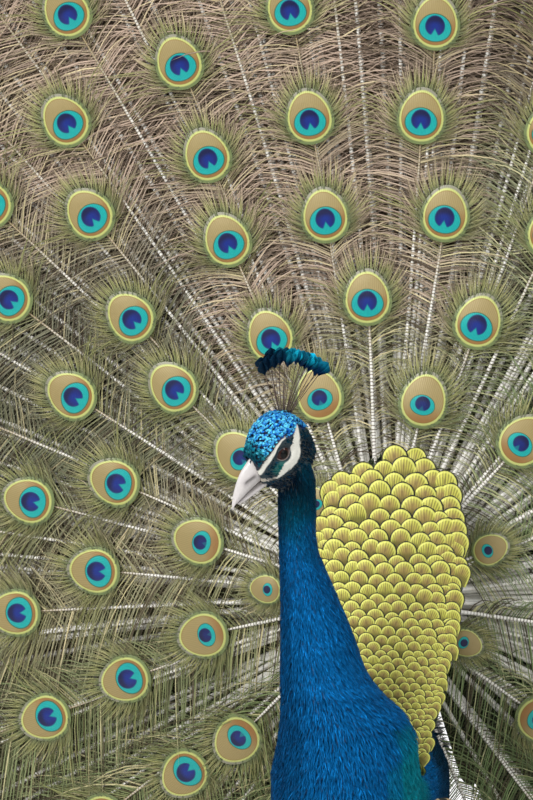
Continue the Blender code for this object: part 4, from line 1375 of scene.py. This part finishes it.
def makeCrest(quill, fan):
    chance = np.random.default_rng(61)
    count = crest["shafts"]
    share = (np.arange(count) + 0.5) / count
    angle = np.radians(80 + 84 * share)
    reach = 1000 * crest["length"] * (1.08 - 0.16 * share) * chance.uniform(0.97, 1.03, count) - 9
    lean = chance.normal(0, 3.2, count)
    steps = 7
    along = np.linspace(0, 1, steps)
    bow = 1.6 * np.sin(along * math.pi) * chance.normal(0.4, 0.6, (count, 1))
    base = (1 - share)[:, None] * (1 - along)
    forward = -30.5 + (reach * np.cos(angle))[:, None] * along + bow * np.sin(angle)[:, None] + base * 11
    up = 19.0 + (reach * np.sin(angle) + 2.0)[:, None] * along - bow * np.cos(angle)[:, None] + base * 5
    left = lean[:, None] * (0.25 + 0.75 * along) + np.zeros((count, steps))
    lines = onHead(np.stack([forward, up, left], -1))
    points, faces, _ = tubes(lines, 0.00042 - 0.00010 * along, 5, headLeft)
    lie = np.stack([np.zeros(len(points)), np.tile(np.repeat(along, 5), count), np.full(len(points), 0.5)], -1)
    makePiece("crest_shafts", points, faces, quill, {"lie": lie}, None, ())
    heading = unit(lines[:, -1] - lines[:, -2])
    normal = unit(np.cross(heading, headForward + chance.normal(0, 0.3, (count, 3))))
    normal = unit(np.cross(heading, np.cross(normal, heading)))
    outline = np.array((0.06, 0.22, 0.45, 0.72, 0.94, 1.0, 0.90, 0.55, 0.08))
    lift = 0.06 * np.linspace(0, 1, 9) ** 2
    turned = np.concatenate([normal, np.cross(heading, normal)])
    roots = np.concatenate([lines[:, -1], lines[:, -1]]) - np.concatenate([heading, heading]) * 0.001
    both = np.concatenate([heading, heading])
    points, faces, own = vanes(roots, both, turned, crest["fan"], crest["fanWidth"], outline, 7, 0.10, lift)
    each = len(own) // (2 * count)
    luck = spread(np.tile(chance.random(count), 2), each)
    # painted shade and highlight: front fans are left near black and rear fans navy, and bright cyan is painted on the
    # upper part of each fan, strongest on the rear fans
    litShare = spread(np.tile(0.12 + 0.88 * share, 2), each)
    low = mixed(blues["black"], blues["navy"], litShare * 0.7)
    highlight = rise(own[:, 1], 0.25, 0.75) * rise(litShare, 0.25, 0.85) * (0.2 + 0.8 * rise(luck, 0.25, 0.7))
    tone = mixed(low, colour(30, 206, 236), highlight)
    lie = np.concatenate([own, luck[:, None]], 1)
    places = np.stack([np.tile(0.04 + 0.92 * share, 2), np.repeat((0.3, 0.7), count)], -1)
    bakeMap = patches(places, 0.03, own[:, 0], own[:, 1])
    makePiece("crest_fans", points, faces, fan, {"lie": lie, "tint": tone}, bakeMap, ["crest"])


def wingPlaces(side):
    name = "wing_" + side
    sign = 1.0 if side == "left" else -1.0
    low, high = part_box(name)
    tree = castTree([name])
    starts = []
    length = high.y - low.y
    for row in range(15):
        for column in range(9):
            y = low.y + length * (0.03 + 0.90 * (row + 0.5 * (column % 2)) / 15)
            z = low.z + (high.z - low.z) * (0.04 + 0.92 * column / 8)
            starts.append((sign * 0.4, y, z))
    found, places, normals = cast(tree, starts, (-sign, 0, 0))
    return places[found], normals[found], sign


def makeCoverts(finish):
    outline = np.array((0.45, 0.8, 0.97, 1.0, 0.96, 0.84, 0.58, 0.10))
    chance = np.random.default_rng(71)
    for side in ("left", "right"):
        places, normals, sign = wingPlaces(side)
        order = np.argsort(places[:, 1])
        places, normals = places[order], normals[order]
        count = len(places)
        heading = np.tile((0.05 * sign, 0.88, -0.44), (count, 1)) + chance.normal(0, 0.05, (count, 3))
        heading = unit(heading - normals * np.sum(heading * normals, -1, keepdims=True))
        roots = places + normals * (0.0008 + 0.003 * (1 - np.arange(count) / count))[:, None]
        lift = 0.01 + 0.05 * np.linspace(0, 1, 8) ** 2
        points, faces, own = vanes(roots, heading, normals, 0.046 * chance.uniform(0.9, 1.1, count), 0.027,
                                   outline, 7, 0.05, lift)
        each = len(own) // count
        lie = np.concatenate([own, spread(chance.random(count), each)[:, None]], 1)
        box = np.array((places[:, 1] - places[:, 1].min(), places[:, 2] - places[:, 2].min())).T
        bakeMap = patches(0.03 + box / (box.max(0) + 0.02) * 0.92, 0.04, own[:, 0], own[:, 1])
        makePiece("coverts_" + side, points, faces, finish, {"lie": lie}, bakeMap)


def covertFinish():
    # buff feathers with wavy black bars
    finish = Finish("wing_covert", Roughness=0.6)
    across, along, luck = finish.mark("lie")
    wave = finish.noise(3.0, 2.0, finish.place(across, along * 2.0, luck * 30.0))
    bars = ((along * 2.6 + across * across * 0.30 + wave * 0.8 + luck * 0.7) * 6.283).apply("SINE")
    streak = ((along * 3.0 - across.apply("ABSOLUTE") * 0.8) * 60.0).apply("SINE") * 0.5 + 0.5
    shade = finish.blend(streak * 0.4, colour(196, 172, 130), colour(160, 134, 96))
    shade = finish.blend(finish.rise(bars, -0.1, 0.35), shade, colour(30, 34, 30))
    shade = finish.blend(finish.rise(across.apply("ABSOLUTE"), 0.05, 0.02), shade, colour(80, 66, 50))
    return finish.finished(shade, None, streak, 0.0003, 0.5)


def makeFlights(finish):
    chance = np.random.default_rng(73)
    outline = np.array((0.25, 0.6, 0.85, 0.97, 1.0, 1.0, 0.98, 0.94, 0.84, 0.62, 0.12))
    for side, sign in (("left", 1.0), ("right", -1.0)):
        name = "flight_feathers_" + side
        low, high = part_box(name)
        count = 10
        share = np.linspace(0, 1, count)
        centre = float(low.x + high.x) / 2
        roots = np.stack([centre - sign * 0.0065 + sign * 0.0016 * (share - 0.5) * 6,
                          low.y + 0.012 + 0.05 * share, low.z + (high.z - low.z) * (0.92 - 0.42 * share)], -1)
        tips = np.stack([centre + sign * 0.0065 + sign * 0.0016 * (share - 0.5) * 6,
                         high.y - 0.004 - 0.055 * share, low.z + 0.016 + 0.055 * (1 - share)], -1)
        heading = unit(tips - roots)
        normals = unit(np.tile((sign, 0.05, 0.12), (count, 1)))
        normals = unit(normals - heading * np.sum(normals * heading, -1, keepdims=True))
        length = np.linalg.norm(tips - roots, axis=1)
        points, faces, own = vanes(roots, heading, normals, length, 0.030, outline, 7, 0.04)
        each = len(own) // count
        lie = np.concatenate([own, spread(chance.random(count), each)[:, None]], 1)
        tint = np.broadcast_to(colour(150, 88, 46), (len(points), 3))
        places = np.stack([0.06 + 0.88 * share, np.full(count, 0.5)], -1)
        bakeMap = spread(places, each) + np.stack([own[:, 0] * 0.03, (own[:, 1] - 0.5) * 0.9], -1)
        makePiece("flights_" + side, points, faces, finish, {"lie": lie, "tint": tint}, bakeMap, [name])


def makeTail(finish):
    # twenty stiff feathers that prop the train from behind
    count = 20
    chance = np.random.default_rng(79)
    angles = np.linspace(-72, 72, count)
    share = np.abs(angles) / 76
    reach = 0.425 * (1 - 0.1 * share ** 2)
    rows, columns = 15, 7
    along = np.linspace(0, 1, rows)
    across = np.linspace(-1, 1, columns)
    outline = np.interp(along, (0, 0.15, 0.6, 0.88, 0.97, 1), (0.3, 0.6, 1.0, 0.95, 0.65, 0.1))
    distance = 0.03 + (reach[:, None] - 0.03) * along
    turn = np.radians(angles)[:, None, None]
    outward = 0.029 * outline[None, :, None] * across
    x = np.sin(turn) * distance[..., None] + np.cos(turn) * outward
    z = train["root"][2] + np.cos(turn) * distance[..., None] - np.sin(turn) * outward
    radius = np.hypot(x, z - train["root"][2])
    layer = np.tile((0.0, 0.003), count // 2)[:, None, None]
    y = train["root"][1] + 0.014 + 0.31 * radius - 0.10 * radius ** 2 + layer + 0.003 * across ** 2
    points = np.stack([x, y, z], -1).reshape(-1, 3)
    lie = np.stack(np.broadcast_arrays(across, along[:, None], chance.random(count)[:, None, None]), -1).reshape(-1, 3)
    tint = np.broadcast_to(colour(120, 102, 82), points.shape)
    bakeMap = fanMap(points[:, 0] * 2.3, train["root"][2] + (points[:, 2] - train["root"][2]) * 2.3)
    makePiece("tail_feathers", points, gridFaces(count, rows, columns), finish, {"lie": lie, "tint": tint}, bakeMap,
              ["tail"])


def scutesFinish():
    finish = Finish("leg_scutes", Roughness=0.55)
    place = finish.add("ShaderNodeTexCoord", output="Object")
    plates = finish.add("ShaderNodeTexVoronoi", {"feature": "DISTANCE_TO_EDGE"}, {"Vector": place, "Scale": 210.0})
    lines = finish.rise(plates, 0.0, 0.12)
    grain = finish.noise(300.0, 3.0)
    shade = finish.blend(lines, colour(72, 62, 54), colour(140, 126, 112))
    shade = finish.blend(grain * 0.4, shade, colour(96, 84, 74))
    return finish.finished(shade, grain * 0.3 + 0.4, lines + grain * 0.3, 0.0006, 0.6)


def clawFinish():
    finish = Finish("claw", Roughness=0.3, Coat_Weight=0.3)
    grain = finish.noise(260.0, 3.0)
    return finish.finished(finish.blend(grain, colour(44, 38, 34), colour(92, 80, 68)), None, grain, 0.0002, 0.4)


def finishSolids(names, finish):
    for name in names:
        piece = solids[name]
        piece.data.materials.clear()
        piece.data.materials.append(finish)


camera = {"aim": (-0.0798, -0.2015, 0.8790), "turn": 10.5, "climb": 7.0, "distance": 4.5, "lens": 220.1}


def makeCamera():
    lens = bpy.data.cameras.new("camera")
    lens.lens = camera["lens"]
    lens.sensor_width = 36.0
    viewer = bpy.data.objects.new("camera", lens)
    turn, climb = math.radians(camera["turn"]), math.radians(camera["climb"])
    back = Vector((math.sin(turn) * math.cos(climb), -math.cos(turn) * math.cos(climb), math.sin(climb)))
    viewer.location = Vector(camera["aim"]) + back * camera["distance"]
    viewer.rotation_euler = back.to_track_quat("Z", "Y").to_euler()
    bpy.context.scene.collection.objects.link(viewer)
    bpy.context.scene.camera = viewer


def makeLight(name, place, aim, size, power, tone=(1.0, 1.0, 1.0)):
    lamp = bpy.data.lights.new(name, "AREA")
    lamp.shape = "DISK"
    lamp.size = size
    lamp.energy = power
    lamp.color = tone
    piece = bpy.data.objects.new(name, lamp)
    piece.location = place
    piece.rotation_euler = (Vector(place) - Vector(aim)).to_track_quat("Z", "Y").to_euler()
    bpy.context.scene.collection.objects.link(piece)


def makeFloor():
    turn = np.arange(64) * 2 * math.pi / 64
    ring = np.stack([np.cos(turn) * 6, np.sin(turn) * 6, np.zeros(64)], -1)
    mesh = rawMesh("floor", ring, [list(range(64))])
    finish = Finish("floor", Roughness=0.85)
    cloud = finish.noise(0.8)
    mesh.materials.append(finish.finished(finish.blend(cloud, colour(226, 224, 220), colour(236, 234, 231))))
    floor = bpy.data.objects.new("floor", mesh)
    bpy.context.scene.collection.objects.link(floor)


def makeStage():
    makeFloor()
    bpy.context.scene.view_settings.view_transform = "Standard"
    world = bpy.data.worlds.new("studio")
    bpy.context.scene.world = world
    world.use_nodes = True
    nodes, links = world.node_tree.nodes, world.node_tree.links
    sky = nodes["Background"]
    sky.inputs["Strength"].default_value = 0.8
    place = nodes.new("ShaderNodeTexCoord")
    parts = nodes.new("ShaderNodeSeparateXYZ")
    height = nodes.new("ShaderNodeMapRange")
    tones = nodes.new("ShaderNodeMix")
    tones.data_type = "RGBA"
    height.inputs["From Min"].default_value = -0.3
    height.inputs["From Max"].default_value = 0.6
    tones.inputs[6].default_value = (0.22, 0.24, 0.22, 1.0)
    tones.inputs[7].default_value = (0.93, 0.96, 1.0, 1.0)
    links.new(place.outputs["Generated"], parts.inputs[0])
    links.new(parts.outputs["Z"], height.inputs["Value"])
    links.new(height.outputs["Result"], tones.inputs[0])
    links.new(tones.outputs[2], sky.inputs["Color"])
    makeLight("key", (-1.9, -3.0, 3.4), (0, -0.1, 0.9), 2.0, 150)
    makeLight("fill", (2.6, -2.6, 1.7), (0, -0.1, 0.9), 2.2, 14)
    makeLight("glint", (2.1, -0.3, 2.75), (-0.07, -0.2, 0.83), 0.9, 26)
    makeLight("behind", (0.5, 3.0, 2.4), (0, 0.1, 0.9), 2.0, 60)


makeCamera()
makeStage()

feathers = featherTable()
forked = forkedTable()
every = np.concatenate([feathers, forked])
print("feathers", len(feathers), "forked", len(forked))
makeUnderVanes(underVaneFinish())
makeShafts(every, shaftFinish())
makeBarbs(every, plumeFinish("train_barb", 3.0, 0.5, 0.1, 0.5, 0.0))
makeEyespots(feathers, eyespotFinish())
makeHalos(feathers, plumeFinish("train_halo", 3.0, 0.4, 0.1, 0.5, 0.0))
makeForks(forked, plumeFinish("train_fork", 3.0, 0.5, 0.1, 0.45, 0.2))
makeRearBarbs(forked, plumeFinish("train_rear", 3.0, 0.5, 0.1, 0.55, 0.0))
print("train made")
makeShield(scaleFinish())
print("shield made")
body = makeSkin(skinFinish())
print("skin made", len(body["triangles"]))
makeCoat(body, {"blue": plumeFinish("blue_plume", 4.0, 0.7, 0.12, 0.42, 0.45, (20, 130, 225), 0.2),
                "down": plumeFinish("down_plume", 4.0, 0.5, 0.2, 0.65, 0.0)})
makeCrown(body, plumeFinish("crown_plume", 2.0, 0.4, 0.04, 0.38, 0.40, (60, 170, 255), 0.2))
makeEyes(eyeFinish())
horn = hornFinish("bill_horn")
makeBill("bill_upper", billUpper, horn)
makeBill("bill_lower", billLower, horn)
makeCrest(quillFinish(), plumeFinish("crest_fan", 5.0, 0.5, 0.1, 0.4, 0.05, (40, 170, 230), 0.3))
print("head made")
makeCoverts(covertFinish())
makeFlights(plumeFinish("flight_feather", 8.0, 0.5, 0.1, 0.55))
makeTail(plumeFinish("tail_feather", 12.0, 0.5, 0.1, 0.6))
finishSolids(["tarsus_left", "tarsus_right", "foot_left", "foot_right"], scutesFinish())
clawNames = [name for name in solids if name.startswith(("claw_", "spur_"))]
finishSolids(clawNames, clawFinish())
print("legs made")

for name, count in tally:
    print("piece", name, count)
print("triangles", sum(count for _, count in tally))
